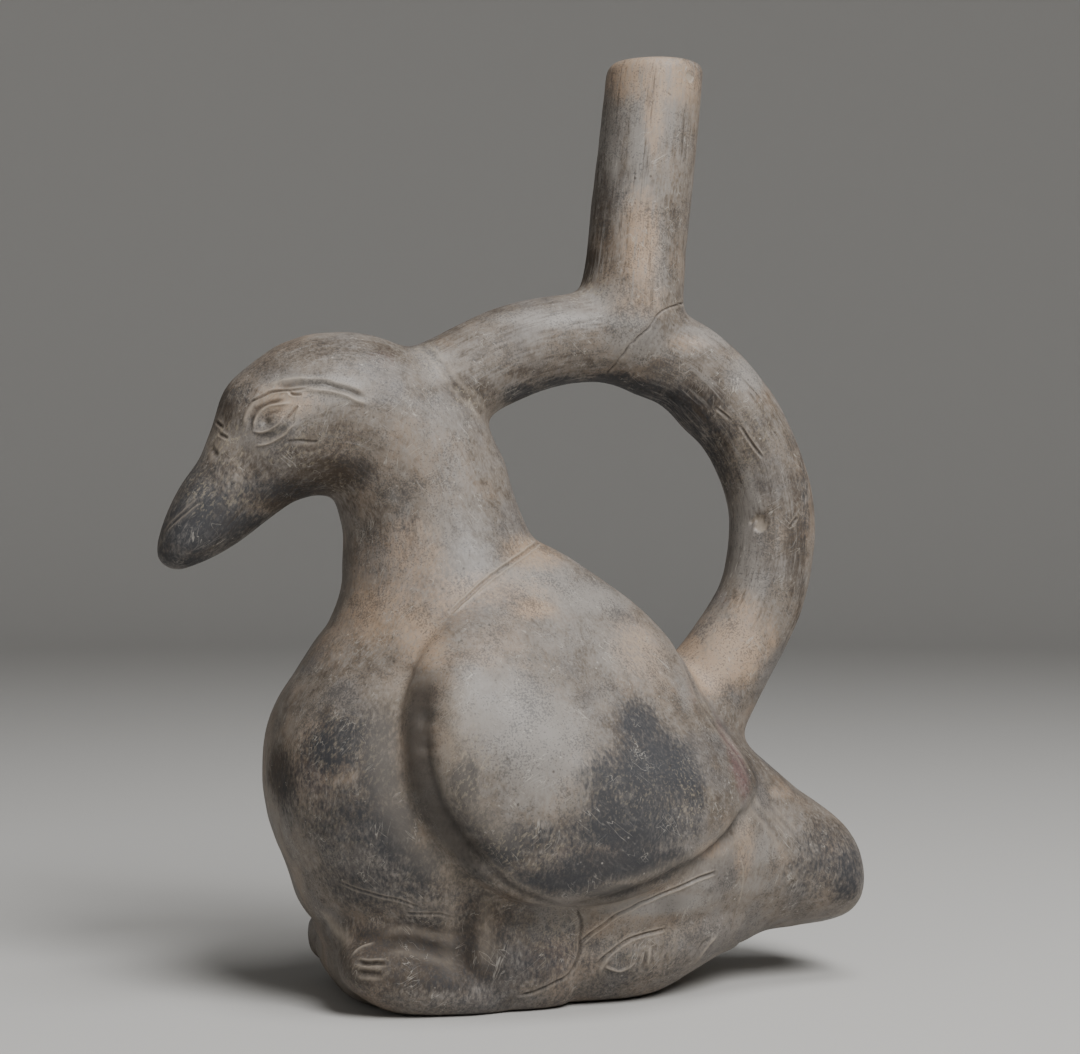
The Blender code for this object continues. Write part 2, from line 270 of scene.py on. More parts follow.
def stirrupTube(name, radius):
    line = bpy.data.curves.new(name, "CURVE")
    line.dimensions = "3D"
    line.bevel_depth = radius
    line.bevel_resolution = vessel["tubeResolution"]
    line.use_fill_caps = True
    rows = smoothRows(stirrupLine, vessel["ringSteps"]) * (mm, mm, 1)
    spline = line.splines.new("POLY")
    spline.points.add(len(rows) - 1)
    for point, (x, z, wider) in zip(spline.points, rows):
        point.co = (x, 0, z, 1)
        point.radius = (radius + (wider - 1) * vessel["stirrupRadius"]) / radius
    drawn = addItem(name + "Line", line)
    mesh = evaluatedMesh(drawn)
    bpy.data.objects.remove(drawn)
    shape = opened(mesh)
    bmesh.ops.remove_doubles(shape, verts=shape.verts, dist=vessel["tubeWeld"])
    bmesh.ops.recalc_face_normals(shape, faces=shape.faces)
    return addItem(name, closed(shape, mesh))


def turnedOnSpout(name, profile):
    # rings about the spout's leaning line, its rim level
    lean = math.tan(vessel["spoutLean"])
    foot = np.array((spoutFoot[0], 0, spoutFoot[1])) * mm
    count = vessel["spoutPoints"]
    turns = 2 * math.pi * np.arange(count) / count
    rings = []
    for radius, height in profile:
        ring = np.stack((np.cos(turns) * radius, np.sin(turns) * radius, np.full(count, height)), axis=1)
        ring[:, 0] += lean * height
        rings.append(ring + foot)
    return skinOver(name, rings)


def spoutForms():
    top = vessel["height"] - spoutFoot[1] * mm
    radius = vessel["spoutRadius"] + vessel["spoutSwell"]
    low = vessel["stirrupRadius"]
    rounding = vessel["lipRounding"]
    lip = [(vessel["spoutRadius"] - rounding * (1 - math.sin(a)), top - rounding * (1 - math.cos(a)))
           for a in quarterTurn(6)]
    tall = turnedOnSpout("spoutClay", lip + [(radius, low), (radius * 0.6, 0)])
    collar = turnedOnSpout("collarClay", [
        (0.96 * radius, 2 * low), (1.04 * radius, 1.2 * low), (1.04 * radius, 0),
        (0.7 * radius, -0.7 * low), (0.1 * radius, -0.9 * low),
    ])
    return [tall, collar]


def boreForm():
    # the bore, let out a little at the mouth
    top = vessel["height"] - spoutFoot[1] * mm
    bore = vessel["boreRadius"]
    wide = bore + boreMouth["opens"]
    mouth = [(wide, top + boreMouth["above"]), (wide, top)]
    for a in quarterTurn(5):
        radius = bore + boreMouth["across"] * (1 - math.sin(a))
        mouth.append((radius, top - boreMouth["down"] * (1 - math.cos(a)) - boreMouth["below"]))
    return turnedOnSpout("boreTool", mouth + [(bore, boreMouth["floor"]), (bore * 0.7, 0)])


def birdForms(inset=0.0):
    made = [loft(name + "Clay", sections, inset) for name, sections in birdSections.items()]
    made.append(stirrupTube("stirrupClay", vessel["stirrupRadius"] - (vessel["stirrupWall"] if inset else 0)))
    return made + [foldedWing("rightWing", 1, inset), foldedWing("leftWing", -1, inset)]


def legForms():
    made = [loft(name, sections, 0.0, side) for side in (-1, 1) for name, sections in legSections.items()]
    return made + [loft("feetJoin", betweenFeet)]


def fused(name, forms, grain):
    # the forms joined into one skin, as wet clay is
    shape = bmesh.new()
    for form in forms:
        shape.from_mesh(form.data)
        bpy.data.objects.remove(form)
    made = addItem(name, closed(shape, bpy.data.meshes.new(name)))
    remesh = made.modifiers.new("fuse", "REMESH")
    remesh.mode = "VOXEL"
    remesh.voxel_size = grain
    applyModifiers(made)
    return made


def soften(item, passes, joints=()):
    smooth = item.modifiers.new("soften", "SMOOTH")
    smooth.factor = 0.5
    smooth.iterations = passes
    if joints:
        weights = item.vertex_groups.new(name="joints")
        places = vertexPlaces(item.data)
        reach = np.zeros(len(places))
        for x, z, radius in joints:
            away = np.linalg.norm(places - np.array((x, 0, z)) * mm, axis=1) / (radius * mm)
            reach = np.maximum(reach, np.clip(1.5 * (1 - away), 0, 1))
        reach = np.round(reach, 2)
        for level in np.unique(reach[reach > 0]):
            weights.add([int(k) for k in np.nonzero(reach == level)[0]], float(level), "REPLACE")
        smooth.vertex_group = weights.name
    applyModifiers(item)
    item.vertex_groups.clear()


skin = fused("claySkin", birdForms() + legForms() + spoutForms(), vessel["grain"])
soften(skin, vessel["evening"])
soften(skin, vessel["jointPasses"], lutedJoints)
places = vertexPlaces(skin.data)
middle = (places.min(axis=0) + places.max(axis=0)) / 2
cadMiddle = np.mean(cadBox, axis=0)
shift = np.array((cadMiddle[0] - middle[0], cadMiddle[1] - middle[1], 0))
setPlaces(skin.data, places + shift)
print("clay forms fused:", len(skin.data.vertices), "points, moved by", np.round(shift / mm, 2), "mm")


# incised and modelled detail
# mm, on the near side; the far side repeats what isn't marked near, and a depth below 0 stands proud
incised = {
    "browBand": {"width": 0.6, "depth": 0.5, "burr": 0.1, "dirtAndShade": 0.6, "points": (
        (-57.9, -13.3, 136), (-56.2, -13.9, 136.4), (-54.1, -14.7, 136.8), (-52, -15.3, 137), (-49.9, -15.8, 137.1),
        (-47.8, -16.3, 137), (-45.7, -16.8, 136.3), (-43.5, -16.9, 135.8), (-41.3, -17.2, 135), (-39.4, -17.6, 134))},
    "browTop": {"width": 0.5, "depth": -0.35, "points": (
        (-59.7, -12.1, 136.4), (-58, -12.7, 137.2), (-56.1, -13.4, 137.8), (-53.7, -14.4, 138.1),
        (-50.9, -15.2, 138.3))},
    "browBottom": {"width": 0.5, "depth": -0.45, "points": (
        (-52.1, -15.8, 135.5), (-49.4, -16.4, 135.5), (-46.8, -16.9, 135.2), (-43.5, -17.2, 134.4),
        (-41.4, -17.5, 133.4), (-38.8, -17.6, 132.8))},
    "lidTop": {"width": 0.3, "depth": 0.42, "burr": 0.12, "points": (
        (-63.4, -11, 132.9), (-62.8, -11.3, 133.3), (-61.8, -11.8, 133.7), (-60.4, -12.4, 134.6),
        (-59.3, -12.8, 135.1), (-57.3, -13.8, 135.5), (-55.2, -14.7, 135.5), (-53.1, -15.4, 135.8),
        (-51.7, -15.7, 136.1))},
    "nick": {"width": 0.28, "depth": 0.35, "burr": 0.1, "points": (
        (-55.4, -14.7, 135.2), (-55.1, -15, 134.7), (-54.2, -15.4, 134.5), (-53, -15.8, 134.6))},
    "lidEdge": {"width": 0.6, "depth": -0.4, "points": (
        (-64.9, -10.9, 127.4), (-64.5, -11.1, 129.2), (-64.1, -11.2, 130.5), (-63.3, -11.5, 131.8),
        (-62.3, -11.9, 133), (-61, -12.4, 133.7))},
    "lidGroove": {"width": 0.48, "depth": 0.55, "points": (
        (-63.8, -11.7, 127.4), (-63.4, -12, 129.4), (-62.7, -12.2, 130.8), (-61.7, -12.6, 131.8),
        (-60.5, -13.1, 132.5), (-59.2, -13.7, 132.9), (-58.2, -14.2, 133.2), (-56.6, -14.8, 133.4))},
    "rimUpper": {"width": 0.42, "depth": -0.5, "points": (
        (-62.9, -12.4, 126.9), (-62.5, -12.6, 128.9), (-61.6, -12.9, 130.5), (-60.4, -13.3, 131.6),
        (-59, -13.9, 132.2), (-57.4, -14.6, 132.4), (-55.3, -15.4, 132.7))},
    "rimLower": {"width": 0.32, "depth": -0.5, "points": (
        (-62.8, -12.4, 126.6), (-61.2, -13.4, 126.4), (-59.5, -14.1, 127), (-58.3, -14.7, 127.8), (-57.4, -15, 128.7),
        (-57, -15.1, 129.6))},
    "eyeTop": {"width": 0.4, "depth": 0.35, "points": (
        (-61.2, -13.3, 129.3), (-59.9, -13.8, 130.5), (-58.7, -14.4, 130.7), (-57.2, -14.9, 131.4))},
    "underRim": {"width": 0.6, "depth": 0.35, "points": (
        (-62, -13, 125.4), (-60.1, -13.8, 125.6), (-58.5, -14.5, 126.3), (-56.8, -15.1, 127.4), (-56, -15.3, 128.6))},
    "lowerLid": {"width": 0.32, "depth": -0.45, "points": (
        (-62.3, -12.4, 123.5), (-60.5, -13.3, 123.8), (-59.1, -14, 124.3), (-57.4, -14.6, 125.3), (-56.4, -15.1, 126),
        (-55.6, -15.4, 127.1), (-54.7, -15.8, 127.9), (-54.1, -16, 128.5))},
    "lidCorner": {"width": 0.34, "depth": -0.3, "points": (
        (-54.4, -15.9, 128.9), (-54.1, -16, 130.2), (-53.6, -16.1, 131.2), (-53.4, -16.1, 132.1))},
    "cornerLine": {"width": 0.28, "depth": 0.3, "burr": 0.1, "points": (
        (-56.4, -15.3, 129), (-55.4, -15.6, 130.1), (-54.8, -15.8, 131), (-53.9, -16, 132))},
    "cheekLine": {"width": 0.35, "depth": 0.3, "points": (
        (-56.3, -14.7, 124.3), (-53.6, -15.4, 124.6), (-51, -15.7, 124.4), (-49.1, -16, 124.4))},
    "billBaseHigh": {"width": 0.35, "depth": 0.3, "burr": 0.12, "points": (
        (-69.8, -2.6, 129.2), (-68.9, -6.2, 127.8))},
    "billBaseMiddle": {"width": 0.35, "depth": 0.3, "burr": 0.12, "points": (
        (-69.7, -5.5, 126.5), (-68.1, -8.2, 125.3))},
    "billBaseLow": {"width": 0.6, "depth": 0.35, "points": ((-71.1, -4.4, 123.6), (-70.2, -7.4, 121.5))},
    "billScratch": {"width": 0.35, "depth": 0.15, "burr": 0.1, "near": True, "points": (
        (-80.8, -4.5, 105.1), (-77.8, -7.5, 108.4), (-74.1, -8.9, 111.7))},
    # the dark bands of the wing's lines below are painted shade in the trough before the wing and painted shadow under
    # it
    "wingFront": {"width": 4.6, "depth": 2.9, "taper": 18, "dirtAndShade": 0, "points": (
        (-26, -34.4, 79.6), (-27.7, -35.7, 76.6), (-29.2, -37, 73.4), (-30.4, -38.2, 70.1), (-31.3, -39.3, 66.6),
        (-31.8, -40.2, 62.8), (-31.8, -40.9, 58.7), (-31.3, -41.4, 54.5), (-30.3, -41.6, 50.3), (-28.6, -41.7, 46.2),
        (-26.3, -41.8, 42.2), (-23.2, -41.8, 38.4), (-19.5, -41.7, 34.9), (-15.2, -41.7, 31.6),
        (-10.5, -41.7, 28.7))},
    "wingCrease": {"width": 0.9, "depth": 0.3, "taper": 10, "dirtAndShade": 0.6, "points": (
        (-30.9, -40.2, 66.3), (-31.2, -40.9, 62.6), (-31.2, -41.5, 58.8), (-30.7, -41.9, 54.8), (-29.6, -42.2, 50.7),
        (-27.9, -42.3, 46.5), (-25.6, -42.2, 42.4), (-22.6, -42, 38.4), (-18.9, -41.8, 34.7), (-14.5, -41.5, 31.4),
        (-9.3, -40.8, 28.7), (-3.5, -39.8, 26.5), (2.8, -38.3, 24.7))},
    "wingShade": {"width": 4.6, "depth": 0, "taper": 7, "dirtAndShade": 1, "flat": True, "points": (
        (-28.5, -35.3, 76.7), (-30.2, -36.4, 73), (-31.7, -37.5, 69.3), (-32.7, -38.4, 65.7), (-33.2, -39, 62),
        (-33.2, -39.6, 58.2), (-32.6, -40.1, 54.3), (-31.4, -40.5, 50.2), (-29.6, -40.9, 46.1), (-27.1, -41.1, 42.1),
        (-24, -41.2, 38.3), (-20.2, -41.3, 34.7), (-16, -41.4, 31.2))},
    "wingUnderShade": {"width": 2, "depth": 0, "taper": 6, "dirtAndShade": 0.6, "flat": True, "points": (
        (2.5, -34.9, 23.7), (6.5, -36.5, 24.4), (10.7, -37.7, 25.2), (14.9, -38.3, 26.4), (19.3, -38.4, 27.8),
        (23.7, -38.1, 29.4))},
    "wingShoulder": {"width": 0.36, "depth": 0.2, "burr": 0.24, "dirtAndShade": 0.25, "wander": 0.15, "points": (
        (2.2, -9.5, 102.5), (-0.2, -12.7, 101.1), (-7.3, -20, 97.6), (-13.2, -23.7, 94.2), (-18, -25.9, 90.6),
        (-22, -27, 86.9))},
    "wingUnder": {"width": 1.9, "depth": 1, "dirtAndShade": 0.7, "points": (
        (-0.3, -38.5, 24.8), (5.2, -39.3, 25.2), (10.4, -40.1, 26.1), (16.7, -39.9, 27.8), (24, -38.3, 29.9),
        (31.5, -35.2, 32.7), (37.6, -32.4, 36), (42.4, -30, 40.2), (45.2, -28.9, 44.9))},
    "wingRear": {"width": 0.9, "depth": 0.35, "dirtAndShade": 0.15, "points": (
        (47.1, -26.4, 48.4), (45.3, -23.8, 53.8), (42.3, -22.2, 58.5), (37.9, -20.5, 65), (35.8, -14.9, 73.2),
        (34.5, -10, 79))},
    "bellyLine": {"width": 0.3, "depth": 0.1, "burr": 0.05, "dirtAndShade": 0.15, "points": (
        (-45.9, -24.2, 29.7), (-43, -26.1, 28.3), (-40, -27.6, 27.4), (-38, -28.3, 26.7), (-34.9, -29.2, 26.1),
        (-32.8, -29.6, 25.4), (-30, -29.9, 24.3))},
    "bellyLineLow": {"width": 0.3, "depth": 0.08, "burr": 0.05, "dirtAndShade": 0.15, "points": (
        (-32.5, -28.2, 22.9), (-28.4, -29.5, 22.7), (-25.3, -30.4, 22.7), (-23.5, -30.5, 22), (-21.4, -30.9, 21.7))},
    "footTop": {"width": 1.3, "depth": 0.6, "dirtAndShade": 0.5, "points": (
        (-37.6, -26.4, 15.9), (-34.4, -26.8, 16.5), (-31.2, -27.5, 16.7), (-28.1, -28.2, 15.6), (-24.9, -28.8, 14.8),
        (-22.8, -29, 14.2), (-19.7, -30, 14))},
    "footFront": {"width": 0.32, "depth": -0.25, "points": (
        (-43.5, -25.6, 13.5), (-41.7, -25.2, 15.2), (-40, -25.3, 16), (-38.7, -25.5, 16.4))},
    "toeUpper": {"width": 0.42, "depth": 0.65, "burr": 0.15, "points": (
        (-42.8, -27.3, 12.8), (-41.6, -28.1, 12.5), (-40.2, -28.8, 12.4), (-39, -29.2, 12.6), (-36.9, -29.6, 12.5))},
    "toeLower": {"width": 0.6, "depth": 0.55, "burr": 0.1, "points": (
        (-42.9, -27.8, 10.5), (-41.6, -28.9, 10.5), (-40.2, -29.6, 10.4), (-38.1, -30.3, 10.4))},
    "farRidge": {"width": 1.6, "depth": -0.4, "points": (
        (-47.8, -12.6, 22.8), (-46.2, -13.2, 20.2), (-44.6, -16.8, 17.4), (-43.4, -22.5, 15.3))},
    "legFront": {"width": 2.2, "depth": 0.4, "dirtAndShade": 0.25, "points": (
        (-20.5, -35.3, 29.5), (-19.4, -31.6, 22.4), (-19.3, -30.2, 14.6), (-18.2, -30.2, 8))},
    "underCrack": {"width": 0.24, "depth": 0.35, "points": (
        (-3.8, -37.4, 24.8), (0.2, -34.9, 23.8), (2.4, -35, 23.9), (3.5, -37.4, 24.3))},
    "legCrease": {"width": 0.34, "depth": 0.4, "wander": 0.2, "dirtAndShade": 0.6, "points": (
        (4.5, -34, 22.9), (5.9, -32.1, 19.3), (6, -31.1, 15.8), (5.6, -30.8, 12.5), (4.6, -30.6, 9.7),
        (2.8, -30.5, 7.8), (0.5, -30.7, 6.9), (-3.1, -30.5, 5.3), (-7.4, -30, 4.3))},
    "shankTop": {"width": 0.36, "depth": 0.34, "burr": 0.2, "dirtAndShade": 0.4, "points": (
        (6, -31, 15.1), (7.6, -31.1, 16.6), (9.1, -31.6, 17.7), (11.1, -32.2, 19.3), (13.2, -32.9, 21.1),
        (16.4, -33.5, 22.5), (18.6, -34, 23.7), (20.9, -33.9, 24.4), (24.4, -33.8, 25.7), (28, -33.1, 26.8),
        (30.5, -32.5, 27.7), (33.1, -31.8, 28.6), (37.1, -30.5, 29.4))},
    "heelLine": {"width": 0.32, "depth": -0.3, "points": (
        (43.8, -27.9, 31.5), (44.7, -27, 29.1), (45, -26.2, 26.7), (45, -24.8, 23.6), (44.7, -23.5, 20.7))},
    "shankLow": {"width": 0.33, "depth": 0.32, "burr": 0.14, "dirtAndShade": 0.5, "points": (
        (9.9, -30.4, 10.3), (11.4, -30.6, 11.8), (13.2, -30.7, 13), (15, -30.7, 14.3), (17.3, -30.7, 15.5),
        (20.8, -30.6, 16.4), (23.2, -30.3, 16.7), (26.1, -29.8, 17.1))},
    "shankSpur": {"width": 0.5, "depth": -0.45, "points": (
        (10.3, -29.6, 8.4), (11.5, -30.3, 10.4), (12.8, -30.6, 12))},
    "shankBowl": {"width": 0.34, "depth": -0.38, "points": (
        (11.5, -30.2, 9.7), (13.5, -29.8, 8.9), (15.4, -29.5, 8.5), (17.6, -29.8, 9.4), (18.8, -30.2, 10.9))},
    "shankTick": {"width": 0.4, "depth": -0.32, "points": (
        (21.8, -30.3, 13.7), (21.7, -30, 11.4), (21.6, -29.2, 9.1))},
    "shankTickDark": {"width": 0.3, "depth": 0.3, "points": (
        (21.1, -30.4, 12.8), (20.8, -29.9, 10.5), (20.4, -28.9, 8.2))},
    "hockLine": {"width": 0.45, "depth": -0.35, "points": (
        (39.6, -24.5, 14.6), (37.8, -25, 12.9), (36.2, -24.7, 10.9), (35, -23.4, 8.5))},
    "hockDark": {"width": 0.4, "depth": 0.3, "points": ((37.6, -25.4, 14.1), (35.7, -26.1, 13), (34.6, -25.9, 11.4))},
    "tailUpper": {"width": 0.8, "depth": 0.14, "burr": 0.04, "dirtAndShade": 0.15, "points": (
        (46.2, -28, 45.9), (52.2, -23.4, 39.1), (57.1, -21.9, 33.1))},
    "tailLower": {"width": 0.6, "depth": 0.1, "burr": 0.04, "dirtAndShade": 0.1, "points": (
        (52.6, -21.7, 43), (56.8, -20.8, 38.7), (60.7, -20.1, 34.8))},
    "spoutCrack": {"width": 0.22, "depth": 0.4, "near": True, "wander": 0.35, "points": (
        (38.5, -4.6, 157.8), (35.1, -8.9, 156.9), (31.8, -10.8, 155.5), (29.7, -11.5, 154.2), (27.7, -11.6, 151.4),
        (24.2, -10.7, 148), (21.7, -8.8, 144.7), (19.3, -5.4, 141.2))},
    "jointMark": {"width": 0.7, "depth": 0.1, "burr": 0.08, "dirtAndShade": 0.15, "wander": 0.8, "points": (
        (-23.8, -3, 146.9), (-20.8, -10.2, 142), (-17.7, -11.7, 137.5), (-14, -10.9, 134.2), (-10, -7.6, 130.4))},
    "armScratchHigh": {"width": 0.3, "depth": 0.25, "burr": 0.1, "near": True, "points": (
        (50.5, -9.5, 129.2), (53, -9.8, 125.5), (56, -9.8, 121.8))},
    "armScratchSmall": {"width": 0.3, "depth": 0.2, "burr": 0.1, "near": True, "points": (
        (44.9, -8.6, 133.5), (48.4, -9.1, 130.6))},
    "armScratchLow": {"width": 0.3, "depth": 0.25, "burr": 0.1, "near": True, "points": (
        (62.7, -9.9, 106), (64.5, -9.6, 108.1))},
}
# hollows, chips and low swellings: middle, radius and depth
dents = {
    "eyeball": {"at": (-60.3, -13.8, 129), "radius": 2.2, "depth": 0.5},
    "pupil": {"at": (-60.6, -13.6, 128.7), "radius": 1.2, "depth": 0.6},
    "shankHollow": {"at": (15.6, -30.4, 10.9), "radius": 1.9, "depth": 0.4},
    "lipChip": {"at": (38.2, -9.7, 209.1), "radius": 1.3, "depth": 0.3, "near": True, "ragged": 0.5},
    "armChip": {"at": (55.9, -8.1, 106.5), "radius": 2.1, "depth": 0.75, "near": True, "ragged": 0.5},
    "armPitOne": {"at": (32.7, -4.3, 138), "radius": 0.7, "depth": 0.3, "near": True},
    "armPitTwo": {"at": (35.6, -4.5, 136.4), "radius": 0.8, "depth": 0.3, "near": True},
    "armPitThree": {"at": (38.3, -5, 134.6), "radius": 0.6, "depth": 0.25, "near": True},
    "tailPit": {"at": (59.5, -20.1, 24.8), "radius": 0.7, "depth": 0.4, "near": True},
    "footPad": {"at": (-30, -29.5, 9), "radius": 6, "depth": -0.6},
    "wristHollow": {"at": (26, -31.5, 22), "radius": 6, "depth": 0.5},
    "archUnder": {"at": (29.5, 0, 138.5), "radius": 9, "depth": -1.7, "near": True},
    "archUnderRear": {"at": (40.8, 0, 130.5), "radius": 9, "depth": -1.3, "near": True},
    "breastFoot": {"at": (-48.8, -6, 21.5), "radius": 9, "depth": -1.4},
    "hock": {"at": (49.5, -11.6, 12.4), "radius": 8, "depth": -1.8},
}
handwork = {
    "unevenness": 0.22,      # mm, broad
    "unevenSize": 17.0,
    "ripple": 0.09,          # mm, left by the burnishing pebble
    "rippleSize": 4.5,
    "pressure": 0.35,        # how far a line's depth comes and goes
    "bankAt": 1.85,          # the burr beside a line, in the line's widths
    "bankWidth": 0.75,
    "dentReach": 1.6,        # in the dent's radii
    "dentFall": 1.6,
    "dentEnd": 2.2,
    "wanderSize": 1.7,
    "lineStep": 0.2,         # mm between the points of a line
    "lineEasing": 12,        # and 40 more for each mm of width above 1
    "trough": 3,             # a line wider than this is evened after it is cut
    "troughFrom": 0.15,
    "troughTurns": 14,
}
# each division of the skin: lines narrower than this (mm), widths round them, and a margin
divisions = ((3, 2.6, 0.9), (0.62, 2.4, 0.5), (0.43, 1.9, 0.25))
# where the skin keeps its fine points when it is thinned: reach round the eye (mm), lift (mm) and weight
eyeZone = {"reach": (16, 9, 8), "lift": 0.12, "weight": 0.02}


def onBothSides(entry):
    sides = (1,) if entry.get("near") else (1, -1)
    return [np.array((1, side, 1)) for side in sides]


def snapped(tree, points, width):
    # a dense line that lies on the skin
    rows = np.array(points, float)
    if len(rows) > 2:
        rows = smoothRows(rows, 10)
    lengths = np.concatenate(([0], np.cumsum(np.linalg.norm(np.diff(rows, axis=0), axis=1))))
    even = np.arange(0, lengths[-1], handwork["lineStep"])
    rows = np.stack([np.interp(even, lengths, rows[:, k]) for k in range(3)], axis=1)
    line = np.array([tuple(tree.find_nearest(Vector(row * mm))[0]) for row in rows]) / mm
    for again in range(int(handwork["lineEasing"] + 40 * max(0, width - 1))):   # where it hops between two forms
        line[1:-1] = 0.5 * line[1:-1] + 0.25 * (line[:-2] + line[2:])
    return line, lengths[-1]


def skinTree(mesh):
    shape = opened(mesh)
    tree = BVHTree.FromBMesh(shape)
    shape.free()
    return tree


def nearestOnLine(points, line, reach):
    # for the points within reach of a line: their indices, distances and the place along it
    low, high = line.min(axis=0) - reach, line.max(axis=0) + reach
    inside = np.nonzero(((points > low) & (points < high)).all(axis=1))[0]
    distance = np.full(len(inside), 1e9)
    place = np.zeros(len(inside), int)
    chunk = 60
    for start in range(0, len(line), chunk):
        part = line[start:start + chunk]
        away = np.linalg.norm(points[inside][:, None, :] - part[None], axis=2)
        best = away.argmin(axis=1)
        value = away[np.arange(len(inside)), best]
        closer = value < distance
        distance[closer] = value[closer]
        place[closer] = best[closer] + start
    keep = distance < reach
    return inside[keep], distance[keep], place[keep]


def divideNear(item, near):
    shape = opened(item.data)
    edges = [edge for edge in shape.edges if near[edge.verts[0].index] and near[edge.verts[1].index]]
    bmesh.ops.subdivide_edges(shape, edges=edges, cuts=1, use_grid_fill=True)
    closed(shape, item.data)


tree = skinTree(skin.data)
lines = []
for name, entry in incised.items():
    for side in onBothSides(entry):
        line, length = snapped(tree, np.array(entry["points"]) * side, entry["width"])
        lines.append((name, entry, line, length, side[1]))

for widest, widths, margin in divisions:
    points = vertexPlaces(skin.data) / mm
    near = np.zeros(len(points), bool)
    for name, entry, line, length, side in lines:
        if entry["width"] < widest:
            near[nearestOnLine(points, line, entry["width"] * widths + margin)[0]] = True
    for entry in dents.values():
        if entry["radius"] < widest * 3:
            for side in onBothSides(entry):
                away = np.linalg.norm(points - np.array(entry["at"]) * side, axis=1)
                near[away < entry["radius"] * handwork["dentReach"] + margin] = True
    divideNear(skin, near)
    soften(skin, 1)
print("skin divided near the lines:", len(skin.data.vertices), "points")


def noiseAt(points, size, seed=0):
    shift = Vector((seed * 17.3, seed * 5.1, seed * 11.7))
    return np.array([noise.noise(Vector(point) / size + shift) for point in points])


def evened(mesh, points, chosen, turns):
    # the chosen points drawn towards their neighbours, so that a deep groove has smooth walls
    edges = np.empty(len(mesh.edges) * 2, int)
    mesh.edges.foreach_get("vertices", edges)
    edges = edges.reshape(-1, 2)
    edges = edges[chosen[edges].any(axis=1)]
    edges = np.vstack((edges, edges[:, ::-1]))
    count = np.bincount(edges[:, 0], minlength=len(points))[:, None]
    for again in range(turns):
        sums = [np.bincount(edges[:, 0], points[edges[:, 1], axis], len(points)) for axis in range(3)]
        points[chosen] = 0.5 * points[chosen] + 0.5 * np.stack(sums, axis=1)[chosen] / count[chosen]
    return points


points = vertexPlaces(skin.data) / mm
normals = np.empty(len(points) * 3)
skin.data.vertices.foreach_get("normal", normals)
normals = normals.reshape(-1, 3)
dirtAndShade = np.zeros(len(points))
worn = np.zeros(len(points))
deep = np.zeros(len(points), bool)
lift = handwork["unevenness"] * noiseAt(points, handwork["unevenSize"])
lift += handwork["ripple"] * noiseAt(points, handwork["rippleSize"], 1)
for number, (name, entry, line, length, side) in enumerate(lines):
    width, depth, burr = entry["width"], entry["depth"], entry.get("burr", 0)
    if entry.get("wander"):
        wander = np.array([noise.noise_vector(Vector(point) / handwork["wanderSize"]) for point in line])
        line = line + wander * entry["wander"] * ease(np.arange(len(line)), 0, 8)[:, None]
    found, distance, place = nearestOnLine(points, line, width * 3 + 0.5)
    if not len(found):
        continue
    along = place * handwork["lineStep"]
    taper = ease(np.minimum(along, length - along), -0.6, entry.get("taper", min(3 * width + 0.4, length * 0.25)))
    hand = np.array([noise.noise(Vector((p * 0.13, number * 3.1, side * 2.0))) for p in place])
    hand = 1 + handwork["pressure"] * hand
    groove = np.exp(-(distance / width) ** (4 if entry.get("flat") else 2)) * taper
    bank = np.exp(-((distance - handwork["bankAt"] * width) / (handwork["bankWidth"] * width)) ** 2) * taper
    lift[found] += -depth * hand * groove + burr * hand * bank
    if width > handwork["trough"] and depth > 0:
        deep[found[groove > handwork["troughFrom"]]] = True
    if depth >= 0:
        # each cut is darkened along its middle: dirt in the narrow grooves, painted shade in the wide troughs and bands
        # about the wing
        dirtAndShade[found] = np.maximum(dirtAndShade[found], groove * entry.get("dirtAndShade", min(0.7, 0.2 + depth)))
        worn[found] = np.maximum(worn[found], bank * min(1, 0.3 + 2 * burr))
    else:
        worn[found] = np.maximum(worn[found], groove * 0.8)
for entry in dents.values():
    for side in onBothSides(entry):
        away = points - np.array(entry["at"]) * side
        distance = np.linalg.norm(away, axis=1) / entry["radius"]
        found = np.nonzero(distance < handwork["dentEnd"])[0]
        shape = np.exp(-distance[found] ** 2 * handwork["dentFall"])
        if entry.get("ragged"):
            edge = distance[found] + entry["ragged"] * noiseAt(points[found], 1.3, 4)
            shape = 1 - ease(edge, 0.7, 1.05)
            worn[found] = np.maximum(worn[found], shape)
        elif entry["depth"] > 0:
            # each hollow is darkened too, as dirt and painted shade
            dirtAndShade[found] = np.maximum(dirtAndShade[found], shape * 0.5)
        lift[found] -= entry["depth"] * shape

points = evened(skin.data, points + normals * lift[:, None], deep, handwork["troughTurns"])
# the flat underside and its soft edge
rounding = vessel["baseRounding"] / mm
height = points[:, 2]
soft = np.where(height < -rounding, 0, (height + rounding) ** 2 / (4 * rounding))
points[:, 2] = np.where(height > rounding, height, soft)
setPlaces(skin.data, points * mm)
print("detail cut into the skin")

# thinned for the export, the lines about the eyes least
carved = vertexPlaces(skin.data) / mm
eyes = [np.array(dents["eyeball"]["at"]) * side for side in onBothSides(dents["eyeball"])]
away = np.min([np.linalg.norm((points - eye) / eyeZone["reach"], axis=1) for eye in eyes], axis=0)
plain = skin.vertex_groups.new(name="plain")
plain.add([int(k) for k in np.nonzero((away > 1) | (abs(lift) < eyeZone["lift"]))[0]], 1.0, "REPLACE")
thin = skin.modifiers.new("thin", "DECIMATE")
skin.data.calc_loop_triangles()
thin.ratio = min(1.0, vessel["outsideFaces"] / len(skin.data.loop_triangles))
thin.vertex_group = plain.name
thin.vertex_group_factor = eyeZone["weight"]
applyModifiers(skin)
print("outside thinned to", len(skin.data.polygons), "faces")


